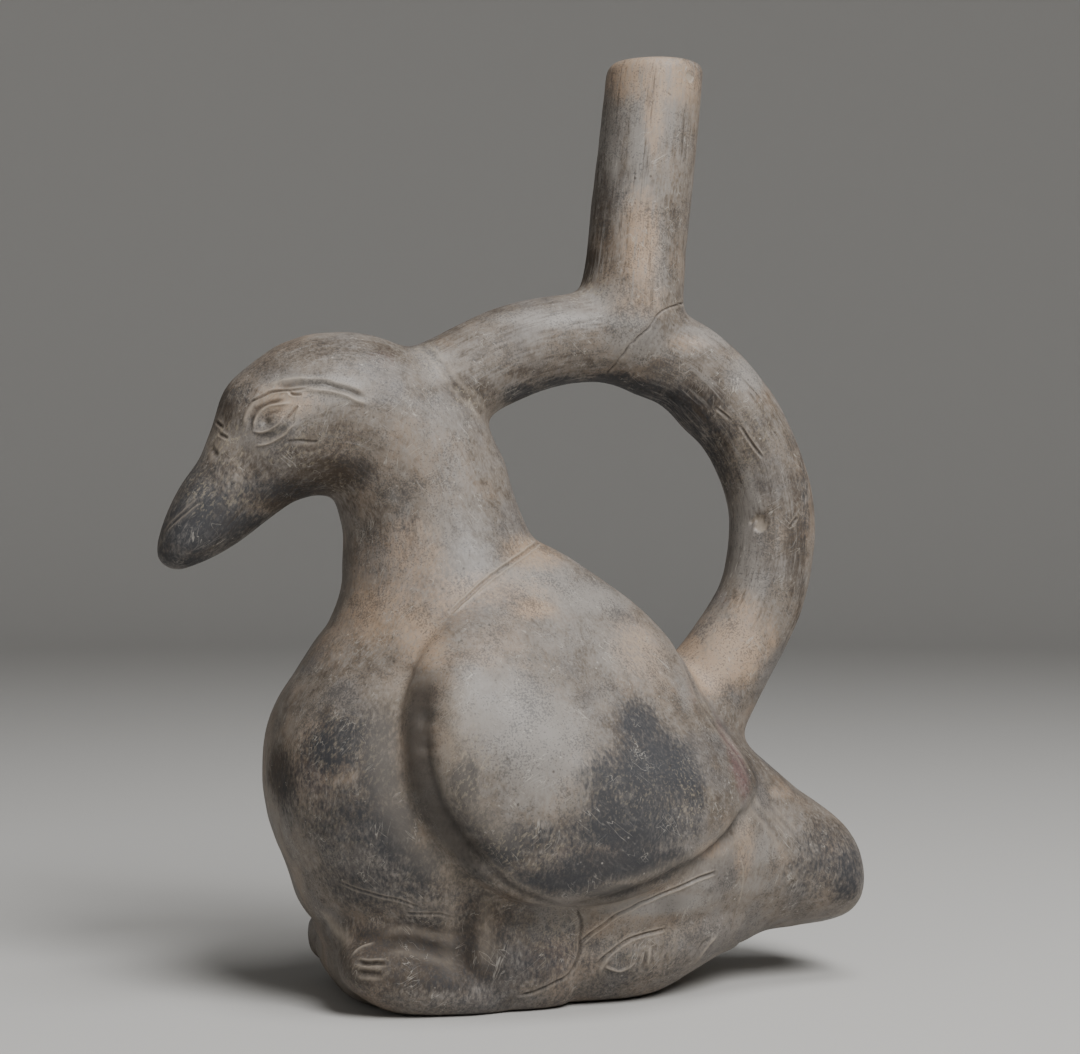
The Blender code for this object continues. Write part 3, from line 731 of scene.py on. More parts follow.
# the hollow inside and the bore
def coarsened(item, faces):
    item.data.calc_loop_triangles()
    step = item.modifiers.new("coarsen", "DECIMATE")
    step.ratio = min(1.0, faces / len(item.data.loop_triangles))
    applyModifiers(item)


def floorCut(item, level):
    flat = vertexPlaces(item.data)
    flat[:, 2] = np.maximum(flat[:, 2], level)
    setPlaces(item.data, flat)


def cutAway(item, tool):
    step = item.modifiers.new(tool.name, "BOOLEAN")
    step.operation = "DIFFERENCE"
    step.solver = "MANIFOLD"
    step.object = tool
    applyModifiers(item)
    bpy.data.objects.remove(tool)


hollow = fused("hollow", birdForms(vessel["wall"]), vessel["cavityGrain"])
soften(hollow, vessel["cavityEvening"])
setPlaces(hollow.data, vertexPlaces(hollow.data) + shift)
floorCut(hollow, vessel["wall"])
coarsened(hollow, vessel["cavityFaces"])
bore = boreForm()
setPlaces(bore.data, vertexPlaces(bore.data) + shift)
cutAway(skin, hollow)
cutAway(skin, bore)
print("hollowed:", len(skin.data.polygons), "faces")

pot = addItem("duckVessel", skin.data)
pot.data.name = "duckVessel"
bpy.data.objects.remove(skin)
shape = opened(pot.data)
bmesh.ops.remove_doubles(shape, verts=shape.verts, dist=vessel["weld"])
bmesh.ops.dissolve_degenerate(shape, edges=shape.edges, dist=vessel["sliver"])
bmesh.ops.triangulate(shape, faces=[face for face in shape.faces if len(face.verts) > 3])
openEdges = sum(1 for edge in shape.edges if not edge.is_manifold)
closed(shape, pot.data)

# kept within the solid's box
places = vertexPlaces(pot.data)
low, high = places.min(axis=0), places.max(axis=0)
cadLow, cadHigh = np.array(cadBox[0]), np.array(cadBox[1])
fit = np.minimum(1.0, (cadHigh - cadLow) / (high - low))
places = (places - (low + high) / 2) * fit + (cadLow + cadHigh) / 2
places[:, 2] += cadLow[2] - places[:, 2].min()
setPlaces(pot.data, places)
print("vessel:", len(pot.data.polygons), "faces,", openEdges, "open edges, size", np.round((high - low) / mm, 2),
      "fit", np.round(fit, 4))


# what the surface shows, kept on its points
# x, y and z of each patch's middle on the near side and its three reaches (mm), and its strength
patches = {
    # soot: fire clouds, and painted shadow under the stirrup's arch, under the wing and in its front trough, and
    # painted shade low round the base
    "sootAndShade": (
        (18, -36, 63, 7, 19, 8, 0.85), (19, -41, 53, 14, 22, 10, 1), (15, -45, 43, 16, 22, 9, 1),
        (29, -39, 47, 5, 19, 10, 0.7), (7, -45, 52, 7, 20, 9, 0.8), (3, -46, 41, 8, 18, 6, 0.6),
        (11, -44, 34, 20, 22, 5, 0.9), (21, -37, 58, 8, 19, 7, 0.7), (-2, -44, 31, 17, 22, 4, 0.8),
        (-23, -45, 52, 4, 16, 8, 0.8), (-21, -45, 43, 6, 16, 7, 0.5), (-15, -44, 38, 9, 19, 6, 0.75),
        (-6, -46, 40, 9, 17, 5, 0.6), (0, -35, 75, 15, 22, 6, 0.26), (-17, -34, 83, 7, 16, 6, 0.3),
        (-46, -29, 59, 10, 22, 8, 0.85), (-45, -31, 44, 20, 22, 12, 0.6), (-54, -22, 49, 6, 22, 12, 0.45),
        (-38, -29, 29, 20, 22, 8, 0.6), (-26, -31, 25, 15, 22, 7, 0.5), (-4, -32, 11, 11, 21, 6, 0.5),
        (-43, -20, 17, 9, 20, 7, 0.35), (-45, -5, 9, 7, 18, 7, 0.1), (74, -17, 26, 7, 22, 10, 0.8),
        (67, -19, 29, 12, 22, 12, 0.5), (65, -19, 32, 11, 22, 9, 0.45), (58, -21, 27, 10, 22, 9, 0.25),
        (-23, -31, 8, 22, 22, 3, 0.5), (67, -8, 112, 2, 21, 14, 0.5), (-76, -9, 105, 9, 20, 7, 0.9),
        (-80, -7, 100, 5, 12, 5, 0.7), (-73, -10, 108, 12, 22, 9, 0.95), (-69, -10, 118, 6, 13, 5, 0.4),
        (-63, -10, 114, 10, 17, 4, 0.6), (-65, -8, 107, 8, 14, 3, 0.9), (-74, -4, 98, 7, 11, 2, 0.8),
        (-39, -33, 55, 6, 22, 13, 0.9), (-36, -34, 41, 6, 20, 10, 0.9), (-30, -34, 33, 7, 18, 7, 0.85),
        (-65, -9, 134, 4, 11, 5, 0.4), (42, -7, 210, 2, 9, 2, 0.4), (-1, -6, 136, 7, 13, 3, 0.9),
        (9, -2, 139, 9, 14, 2, 0.9), (20, 0, 140, 9, 14, 2, 0.9), (29, -1, 138, 7, 13, 3, 0.9),
        (36, -2, 135, 6, 13, 4, 0.8), (42, -1, 129, 5, 12, 5, 0.6), (-54, -9, 114, 11, 17, 3, 0.5),
        (10, -42, 28, 9, 13, 2, 1), (20, -40, 30, 9, 13, 2, 0.5), (-21, -39, 33, 10, 17, 4, 0.5),
        (-35, -33, 37, 10, 21, 7, 0.45), (-8, -30, 4, 62, 26, 24, 0.4), (18, 0, 137, 26, 9, 6, 0.85),
        (38, 0, 134, 13, 9, 7, 0.85), (47, 0, 122, 7, 9, 11, 0.6),
    ),
    # brown: browned clay, and painted shade under the chin and bill and over the foot's top
    "brown": (
        (-46, -12, 118, 11, 19, 5, 0.95), (-52, -7, 114, 12, 20, 4, 1), (-59, -9, 112, 7, 13, 3, 0.9),
        (-49, -16, 124, 12, 22, 6, 0.45), (-44, -17, 126, 10, 19, 5, 0.55), (-53, -14, 122, 7, 13, 3, 0.6),
        (-68, -6, 133, 6, 18, 8, 0.6), (-64, -10, 134, 4, 10, 4, 0.6), (-60, -7, 141, 10, 17, 4, 0.4),
        (-46, -12, 145, 20, 22, 4, 0.45), (-33, -11, 145, 7, 14, 4, 0.6), (-14, -11, 137, 8, 16, 4, 0.7),
        (-6, -10, 141, 10, 15, 2, 0.5), (-61, -12, 118, 8, 16, 5, 0.6), (-74, -9, 111, 5, 20, 10, 0.4),
        (-70, -9, 117, 5, 14, 6, 0.5), (-36, -12, 107, 4, 20, 12, 0.45), (-57, -13, 52, 4, 15, 8, 0.8),
        (-51, -25, 57, 5, 16, 7, 0.6), (-38, -31, 66, 6, 17, 7, 0.5), (-38, -28, 71, 7, 18, 7, 0.3),
        (-35, -33, 37, 7, 21, 9, 0.5), (-26, -34, 30, 9, 18, 6, 0.6), (19, -4, 181, 2, 22, 18, 0.6),
        (16, -2, 167, 3, 12, 6, 0.8), (20, -3, 200, 2, 14, 9, 0.4), (34, -10, 176, 2, 21, 14, 0.4),
        (40, -6, 134, 9, 19, 6, 0.75), (47, -6, 126, 4, 14, 7, 0.7), (55, -10, 128, 7, 21, 9, 0.35),
        (66, -8, 89, 2, 18, 12, 0.7), (67, -4, 124, 2, 21, 14, 0.5), (64, -10, 103, 4, 22, 21, 0.7),
        (59, -10, 96, 3, 16, 9, 0.35), (-33, -27, 17, 15, 22, 3, 1), (-25, -30, 10, 17, 22, 5, 1),
        (-17, -32, 19, 8, 22, 11, 0.7), (-36, -30, 12, 12, 22, 6, 1), (-30, -28, 14, 22, 22, 8, 1),
        (-22, -29, 14, 10, 22, 9, 0.7), (-44, -26, 12, 5, 10, 3, 0.5), (-28, -35, 37, 7, 18, 7, 0.35),
        (-14, -36, 27, 12, 18, 2, 0.5), (-11, -10, 134, 5, 10, 3, 0.3), (-41, -8, 112, 3, 9, 4, 0.5),
        (38, -30, 54, 6, 22, 12, 0.35), (49, -20, 52, 4, 14, 7, 0.6), (-23, -35, 81, 7, 21, 9, 0.25),
        (-10, -39, 75, 12, 22, 9, 0.2), (48, -9, 143, 5, 11, 4, 0.3), (69, -16, 35, 10, 18, 5, 0.5),
        (73, -17, 28, 7, 22, 10, 0.45), (57, -18, 43, 7, 12, 2, 0.3), (-12, -31, 8, 15, 22, 5, 0.4),
        (25, -29, 10, 12, 19, 3, 0.3),
    ),
    "warm": (
        (26, -9, 213, 11, 17, 3, 0.9), (23, -6, 208, 5, 13, 5, 0.5), (29, -11, 201, 3, 22, 14, 0.7),
        (26, -11, 171, 5, 22, 14, 0.9), (26, -12, 158, 10, 19, 6, 0.5), (-35, -35, 58, 2, 13, 9, 0.45),
        (29, -11, 209, 17, 22, 7, 0.8), (-4, -27, 88, 7, 13, 3, 0.8), (-31, -35, 40, 3, 10, 5, 0.4),
        (-29, -28, 82, 7, 20, 8, 0.7), (-35, -19, 88, 13, 22, 12, 0.55), (-29, -18, 99, 10, 22, 12, 0.5),
        (-37, -12, 98, 5, 18, 9, 0.4), (-23, -25, 90, 11, 22, 7, 0.5), (-46, -12, 79, 8, 22, 9, 0.35),
        (42, -10, 72, 6, 15, 6, 0.95), (49, -10, 77, 8, 22, 9, 0.9), (52, -9, 85, 5, 16, 7, 0.6),
        (58, -16, 45, 6, 10, 2, 0.5), (35, -34, 35, 7, 13, 3, 0.5), (45, -28, 34, 4, 17, 9, 0.5),
        (10, -32, 18, 6, 12, 3, 0.4), (-37, -30, 8, 5, 9, 2, 0.2), (-1, -15, 100, 10, 18, 5, 0.7),
        (-11, -25, 92, 17, 22, 5, 0.5), (38, -10, 148, 7, 13, 3, 0.5), (22, -22, 78, 11, 22, 10, 0.5),
        (-20, -36, 80, 5, 13, 5, 0.3), (-47, -17, 131, 11, 17, 3, 0.25), (-57, -15, 133, 11, 20, 5, 0.7),
        (40, -4, 78, 4, 10, 4, 0.9), (58, -10, 80, 3, 11, 6, 0.5),
    ),
    "rose": (
        (44, -28, 52, 3, 14, 8, 0.9), (42, -22, 59, 2, 13, 8, 0.5), (-34, -13, 143, 6, 11, 3, 0.3),
        (-2, -32, 12, 10, 21, 7, 0.3), (24, -33, 23, 8, 14, 3, 0.25), (-2, -46, 38, 5, 11, 4, 0.3),
        (48, -1, 89, 2, 9, 5, 0.3), (35, -20, 69, 2, 11, 7, 0.3), (-52, -24, 52, 5, 15, 7, 0.3),
    ),
    # pale: pale fired clay, and painted highlights on the brow and lid and down the spout
    "pale": (
        (-7, -45, 62, 17, 22, 18, 0.8), (-20, -42, 69, 6, 21, 10, 0.7), (2, -28, 83, 17, 22, 9, 0.5),
        (-7, -46, 50, 10, 22, 8, 0.5), (7, -9, 153, 18, 22, 3, 0.75), (19, -9, 158, 7, 16, 5, 0.7),
        (26, -11, 148, 10, 18, 5, 0.6), (-22, -8, 144, 6, 12, 4, 0.7), (-23, -11, 140, 4, 11, 5, 0.6),
        (53, -8, 141, 7, 16, 6, 0.8), (44, -7, 150, 8, 15, 4, 0.7), (26, -10, 192, 3, 22, 23, 0.9),
        (30, -11, 203, 6, 22, 14, 0.6), (36, -11, 197, 3, 22, 14, 0.4), (-22, -17, 127, 8, 22, 12, 0.45),
        (-19, -19, 107, 11, 22, 14, 0.45), (25, -33, 23, 15, 22, 3, 1), (50, -25, 33, 6, 16, 6, 0.5),
        (33, -31, 27, 7, 12, 2, 0.6), (19, -24, 78, 14, 22, 10, 0.6), (53, -4, 107, 2, 22, 16, 0.8),
        (48, -9, 80, 8, 20, 8, 0.7), (12, -18, 90, 17, 22, 6, 0.7), (-15, -23, 96, 12, 22, 12, 0.5),
        (-42, -15, 140, 10, 15, 2, 0.3), (42, -7, 209, 2, 9, 2, 0.6), (-56, -15, 134, 12, 20, 4, 1),
        (32, -23, 69, 3, 13, 7, 0.6), (44, -29, 40, 3, 11, 6, 0.6), (12, -33, 70, 7, 14, 4, 0.5),
        (54, -8, 94, 4, 17, 9, 0.6), (29, -11, 206, 3, 16, 9, 0.9), (23, -7, 201, 4, 10, 3, 0.6),
        (23, -12, 153, 7, 13, 3, 0.8), (-56, -15, 131, 9, 17, 5, 0.8), (-49, -16, 137, 14, 20, 3, 0.8),
        (-45, -17, 134, 10, 15, 2, 0.7), (15, -30, 12, 5, 10, 3, 0.4), (50, -23, 25, 10, 16, 3, 0.5),
        (30, -11, 164, 4, 20, 12, 0.6), (0, -20, 94, 15, 22, 6, 0.8), (22, -10, 174, 2, 18, 12, 0.5),
        (-1, -33, 20, 7, 15, 5, 0.4), (49, -24, 44, 4, 11, 5, 0.4), (-20, -18, 118, 7, 21, 9, 0.5),
    ),
    "flecked": (
        (-68, -9, 124, 6, 14, 6, 1), (-61, -13, 128, 6, 14, 5, 0.5), (-53, -15, 124, 15, 22, 7, 0.6),
        (-53, -16, 133, 15, 22, 3, 0.35), (-15, -11, 134, 4, 10, 4, 1), (-24, -8, 144, 8, 17, 6, 0.6),
        (-74, -8, 114, 4, 16, 8, 0.7), (-66, -10, 112, 7, 15, 5, 0.5), (-44, -11, 116, 6, 12, 3, 0.4),
        (16, -5, 161, 5, 10, 3, 0.8), (38, -10, 209, 2, 9, 2, 0.8), (54, -10, 126, 6, 21, 10, 0.55),
        (28, -11, 184, 5, 15, 7, 0.4), (15, -44, 48, 20, 22, 9, 0.35), (28, -40, 47, 6, 22, 12, 0.6),
        (-11, -45, 38, 15, 22, 6, 0.6), (-47, -28, 58, 15, 22, 12, 0.4), (-50, -25, 41, 15, 22, 12, 0.3),
        (-22, -45, 53, 6, 22, 14, 0.6), (-40, -29, 12, 7, 13, 3, 0.4), (1, -32, 17, 10, 21, 7, 0.4),
        (22, -30, 13, 15, 22, 7, 0.4), (51, -5, 117, 2, 18, 12, 0.5), (39, -14, 69, 5, 19, 10, 0.4),
        (-47, 3, 79, 7, 22, 12, 0.35), (-24, -34, 30, 15, 22, 7, 0.3),
    ),
}


def paintField(mesh, name, values, kind="FLOAT"):
    layer = mesh.attributes.new(name, kind, "POINT")
    part = "value" if kind == "FLOAT" else "vector"
    layer.data.foreach_set(part, np.ascontiguousarray(values, dtype=np.float32).ravel())


patchEdge = (0.2, 1.45)   # where a patch begins to fade and ends, in reaches
farDrift = 7              # mm


def blobs(points, entries):
    # the far side has patches of its own, a little off the near side's
    total = np.zeros(len(points))
    for k, (*at, reachX, reachY, reachZ, strength) in enumerate(entries):
        off = np.array((farDrift * math.sin(2.1 * k + 1), 0, farDrift * math.sin(3.7 * k)))
        far = np.array(at) * (1, -1, 1) + off
        for spot, share in ((np.array(at), 1.0), (far, 0.6 + 0.4 * math.sin(1.3 * k))):
            away = np.linalg.norm((points - spot) / np.array((reachX, reachY, reachZ), float), axis=1)
            total = np.maximum(total, strength * share * (1 - ease(away, *patchEdge)))
    return total


def alongLine(points, rows):
    # distance from a line in the bird's middle plane, offset across it, and length along it
    rows = smoothRows(rows, 12)
    steps = np.diff(rows, axis=0)
    lengths = np.concatenate(([0], np.cumsum(np.linalg.norm(steps, axis=1))))
    flat = points[:, (0, 2)]
    best = np.zeros(len(flat), int)
    nearest = np.full(len(flat), 1e9)
    for k, row in enumerate(rows):
        away = ((flat - row) ** 2).sum(axis=1)
        closer = away < nearest
        nearest[closer] = away[closer]
        best[closer] = k
    tangents = np.gradient(rows, axis=0)
    tangents /= np.linalg.norm(tangents, axis=1)[:, None]
    tangent = tangents[best]
    offset = flat - rows[best]
    ahead = (offset * tangent).sum(axis=1)
    across = offset[:, 0] * tangent[:, 1] - offset[:, 1] * tangent[:, 0]
    distance = np.sqrt(nearest + points[:, 1] ** 2)
    return distance, across, lengths[best] + ahead


insideGap = 0.9   # mm; a point further than this from the carved skin is on the inside
movedBy = 1.9     # mm, about what the skin was moved along x
apart = 300       # mm from one tube's streaks to the next one's
handover = (0.02, 0.25)   # where two tubes are about as near, the streaks fade
points = places / mm
finder = kdtree.KDTree(len(carved))
for k, point in enumerate(carved):
    finder.insert(point, k)
finder.balance()
match = np.array([finder.find(point)[1:] for point in points])
source = match[:, 0].astype(int)
isInside = match[:, 1] > insideGap
# dark along the cuts and in the hollows: dirt, and painted shade about the wing
paintField(pot.data, "dirtAndShade", dirtAndShade[source] * ~isInside)
paintField(pot.data, "worn", worn[source] * ~isInside)

lean = math.tan(vessel["spoutLean"])
neck = birdSections["neckAndHead"]
tubes = {   # middle line and radius in mm, and how far the burnishing shows
    "stirrup": ([(x + movedBy, z) for x, z, wider in stirrupLine], 11.0, 1.0),
    "spout": ([(spoutFoot[0] + movedBy + lean * h, spoutFoot[1] + h) for h in (0, 20, 40, 64)], 11.5, 1.1),
    "neck": ([((x + lowX) / 2 + movedBy, (z + lowZ) / 2) for x, z, lowX, lowZ, y, wide in neck], 19.0, 0.7),
    "body": ([(-60, 48), (-30, 52), (0, 54), (30, 50), (55, 38), (82, 24)], 36.0, 0.15),
}
found = {name: alongLine(points, rows) for name, (rows, radius, strength) in tubes.items()}
near = np.stack([found[name][0] / radius for name, (rows, radius, strength) in tubes.items()], axis=1)
order = np.sort(near, axis=1)
choice = near.argmin(axis=1)
flow = np.zeros((len(points), 3))
for k, name in enumerate(tubes):
    distance, across, along = found[name]
    mine = choice == k
    flow[mine] = np.stack((across[mine], points[mine, 1], along[mine]), axis=1) + (0, 0, apart * k)
paintField(pot.data, "flow", flow * mm, "FLOAT_VECTOR")
shares = np.array([strength for rows, radius, strength in tubes.values()])[choice]
paintField(pot.data, "flowStrength", ease(order[:, 1] - order[:, 0], *handover) * shares)
for name, entries in patches.items():
    paintField(pot.data, name, blobs(points, entries))
print("surface fields painted")


# materials
def addNode(tree, kind, **values):
    node = tree.nodes.new(kind)
    for key, value in values.items():
        if hasattr(node, key):
            setattr(node, key, value)
        else:
            node.inputs[key].default_value = value
    return node


def feed(tree, socket, value):
    # a number or colour is set on the socket, and anything else is linked to it
    if isinstance(value, (int, float)):
        socket.default_value = value
    elif isinstance(value, tuple):
        socket.default_value = (*value, 1)
    else:
        tree.links.new(value, socket)


def field(tree, name, output="Fac"):
    return addNode(tree, "ShaderNodeAttribute", attribute_name=name).outputs[output]


def maths(tree, operation, first, second=None, clamp=False):
    node = addNode(tree, "ShaderNodeMath", operation=operation, use_clamp=clamp)
    feed(tree, node.inputs[0], first)
    if second is not None:
        feed(tree, node.inputs[1], second)
    return node.outputs[0]


def times(tree, first, second):
    return maths(tree, "MULTIPLY", first, second)


def plus(tree, first, second, clamp=False):
    return maths(tree, "ADD", first, second, clamp)


def minus(tree, first, second):
    return maths(tree, "SUBTRACT", first, second)


def stretched(tree, value, low, high, newLow=0.0, newHigh=1.0):
    node = addNode(tree, "ShaderNodeMapRange", interpolation_type="SMOOTHSTEP")
    for socket, given in zip(node.inputs, (value, low, high, newLow, newHigh)):
        feed(tree, socket, given)
    return node.outputs[0]


def blended(tree, factor, first, second):
    node = addNode(tree, "ShaderNodeMix", data_type="RGBA")
    for k, value in ((0, factor), (6, first), (7, second)):
        feed(tree, node.inputs[k], value)
    return node.outputs[2]


def noiseNode(tree, vector, scale, detail=3.0, roughness=0.5, **mapping):
    if mapping:
        turn = addNode(tree, "ShaderNodeMapping", vector_type="TEXTURE")
        turn.inputs["Scale"].default_value = [1 / size for size in mapping.get("stretch", (1, 1, 1))]
        turn.inputs["Rotation"].default_value = mapping.get("turned", (0, 0, 0))
        turn.inputs["Location"].default_value = mapping.get("moved", (0, 0, 0))
        tree.links.new(vector, turn.inputs["Vector"])
        vector = turn.outputs[0]
    node = addNode(tree, "ShaderNodeTexNoise", Scale=scale, Detail=detail, Roughness=roughness)
    tree.links.new(vector, node.inputs["Vector"])
    return node.outputs["Fac"]


def newGroup(name, inputs, outputs):
    # every group reads a vector, and the rest of its inputs and all its outputs are plain values
    tree = bpy.data.node_groups.new(name, "ShaderNodeTree")
    tree.interface.new_socket(name="Vector", in_out="INPUT", socket_type="NodeSocketVector")
    for label, value in inputs.items():
        socket = tree.interface.new_socket(name=label, in_out="INPUT", socket_type="NodeSocketFloat")
        socket.default_value = value
    for label in outputs:
        tree.interface.new_socket(name=label, in_out="OUTPUT", socket_type="NodeSocketFloat")
    return tree, tree.nodes.new("NodeGroupInput").outputs, tree.nodes.new("NodeGroupOutput").inputs


def placeGroup(tree, group, **values):
    node = tree.nodes.new("ShaderNodeGroup")
    node.node_tree = group
    for key, value in values.items():
        feed(tree, node.inputs[key], value)
    return node.outputs


def patchGroup():
    # a patch whose edge breaks up into specks and short strokes, as smoke and worn slip do
    tree, given, result = newGroup("brokenPatch", {"Mask": 0.0, "Breakup": 0.5}, ("Mask",))
    coarse = noiseNode(tree, given["Vector"], 75.0, 4.0, 0.6)
    fine = noiseNode(tree, given["Vector"], 1300.0, 2.0, 0.6, stretch=(1, 1, 0.5))
    both = plus(tree, times(tree, coarse, 0.4), times(tree, fine, 0.6))
    centred = times(tree, minus(tree, both, 0.5), times(tree, given["Breakup"], 4.0))
    broken = stretched(tree, plus(tree, given["Mask"], centred), 0.1, 0.85)
    feed(tree, result["Mask"], times(tree, broken, stretched(tree, given["Mask"], 0.02, 0.3)))
    return tree


def burnishGroup():
    # streaks of the polishing pebble along the clay
    tree, given, result = newGroup("burnishStreaks", {"Strength": 1.0}, ("Streak", "Height"))
    broad = noiseNode(tree, given["Vector"], 330.0, 3.0, 0.55, stretch=(1, 1, 0.12))
    fine = noiseNode(tree, given["Vector"], 1500.0, 3.0, 0.6, stretch=(1, 1, 0.09))
    both = plus(tree, times(tree, broad, 0.45), times(tree, fine, 0.55))
    feed(tree, result["Streak"], times(tree, minus(tree, both, 0.5), given["Strength"]))
    feed(tree, result["Height"], times(tree, fine, given["Strength"]))
    return tree


def strokeGroup():
    # short upright strokes and fine speckling all over the fired skin
    tree, given, result = newGroup("shortStrokes", {}, ("Light", "Dark", "Grain"))
    upright = noiseNode(tree, given["Vector"], 1900.0, 2.0, 0.55, stretch=(1, 1, 0.4), turned=(0.1, 0.2, 0))
    slanting = noiseNode(tree, given["Vector"], 1700.0, 2.0, 0.55, stretch=(0.4, 1, 1), turned=(0.2, 0.7, 0))
    either = stretched(tree, noiseNode(tree, given["Vector"], 70.0, 2.0), 0.47, 0.6)
    mixed = addNode(tree, "ShaderNodeMix", data_type="FLOAT")
    for k, value in ((0, either), (2, upright), (3, slanting)):
        feed(tree, mixed.inputs[k], value)
    stroke = mixed.outputs[0]
    speckle = noiseNode(tree, given["Vector"], 2500.0, 2.0, 0.5, moved=(0.3, 0.2, 0.1))
    clump = minus(tree, noiseNode(tree, given["Vector"], 110.0, 4.0, 0.6, moved=(0.6, 0.4, 0.2)), 0.5)
    feed(tree, result["Light"], stretched(tree, plus(tree, stroke, times(tree, clump, 0.6)), 0.51, 0.69))
    feed(tree, result["Dark"], stretched(tree, minus(tree, speckle, times(tree, clump, 0.8)), 0.53, 0.68))
    feed(tree, result["Grain"], stroke)
    return tree


def scratchGroup():
    # hair-thin scratches in several directions, where a broad noise lets them show
    tree, given, result = newGroup("fineScratches", {}, ("Mask",))
    total = None
    for turn, place in (((0.2, 0.2, 0.1), 0.0), ((0.3, 0.95, 0.3), 0.31), ((0.2, -0.8, -0.2), 0.77)):
        drawn = noiseNode(tree, given["Vector"], 460.0, 2.0, 0.5, stretch=(1, 1, 0.12), turned=turn, moved=(place,) * 3)
        line = stretched(tree, maths(tree, "ABSOLUTE", minus(tree, drawn, 0.5)), 0.011, 0.0)
        broad = noiseNode(tree, given["Vector"], 130.0, 2.0, 0.5, moved=(place + 0.2,) * 3)
        line = times(tree, line, stretched(tree, broad, 0.56, 0.66))
        total = line if total is None else maths(tree, "MAXIMUM", total, line)
    feed(tree, result["Mask"], total)
    return tree


def grainGroup():
    # a few pale grits, dark pits and the sandy grain of the clay
    tree, given, result = newGroup("clayGrain", {}, ("Pale", "Dark", "Height"))

    def spots(scale, core, clumps, low, high, **mapping):
        cells = addNode(tree, "ShaderNodeTexVoronoi", Scale=scale, Randomness=1.0)
        feed(tree, cells.inputs["Vector"], given["Vector"])
        where = stretched(tree, noiseNode(tree, given["Vector"], clumps, 2.0, **mapping), low, high)
        return times(tree, stretched(tree, cells.outputs["Distance"], 0.24, core), where)

    pits = spots(520.0, 0.06, 180.0, 0.58, 0.68, moved=(0.4, 0.1, 0.7))
    sand = noiseNode(tree, given["Vector"], 1500.0, 2.0, 0.6)
    feed(tree, result["Pale"], spots(700.0, 0.08, 260.0, 0.62, 0.7))
    feed(tree, result["Dark"], pits)
    feed(tree, result["Height"], minus(tree, times(tree, sand, 0.6), pits))
    return tree


blackware = {
    "clay": (0.185, 0.155, 0.127),
    "brown": (0.050, 0.036, 0.025),
    "palest": (0.250, 0.230, 0.209),
    "tan": (0.400, 0.285, 0.195),
    "rose": (0.150, 0.085, 0.085),
    # smoke black, also the colour of painted shade and shadow
    "sootAndShade": (0.031, 0.033, 0.038),
    "slate": (0.130, 0.132, 0.140),
    "speck": (0.46, 0.43, 0.38),
    "fleck": (0.34, 0.29, 0.21),
    # the dark of grooves and pits, also used for painted shade
    "grooveDirtAndShade": (0.035, 0.029, 0.024),
    "wornEdge": (0.34, 0.29, 0.235),
    "specular": 0.34,
    "roughness": 0.52,
    "bump": 0.3,
    "bumpReach": 0.0003,
    "insideBump": 0.6,
    "insideReach": 0.0005,
}


def newMaterial(name):
    material = bpy.data.materials.new(name)
    material.use_nodes = True
    return material, material.node_tree, material.node_tree.nodes["Principled BSDF"]


def bumped(tree, shader, height, strength, reach):
    bump = addNode(tree, "ShaderNodeBump", Strength=strength, Distance=reach)
    tree.links.new(height, bump.inputs["Height"])
    tree.links.new(bump.outputs[0], shader.inputs["Normal"])


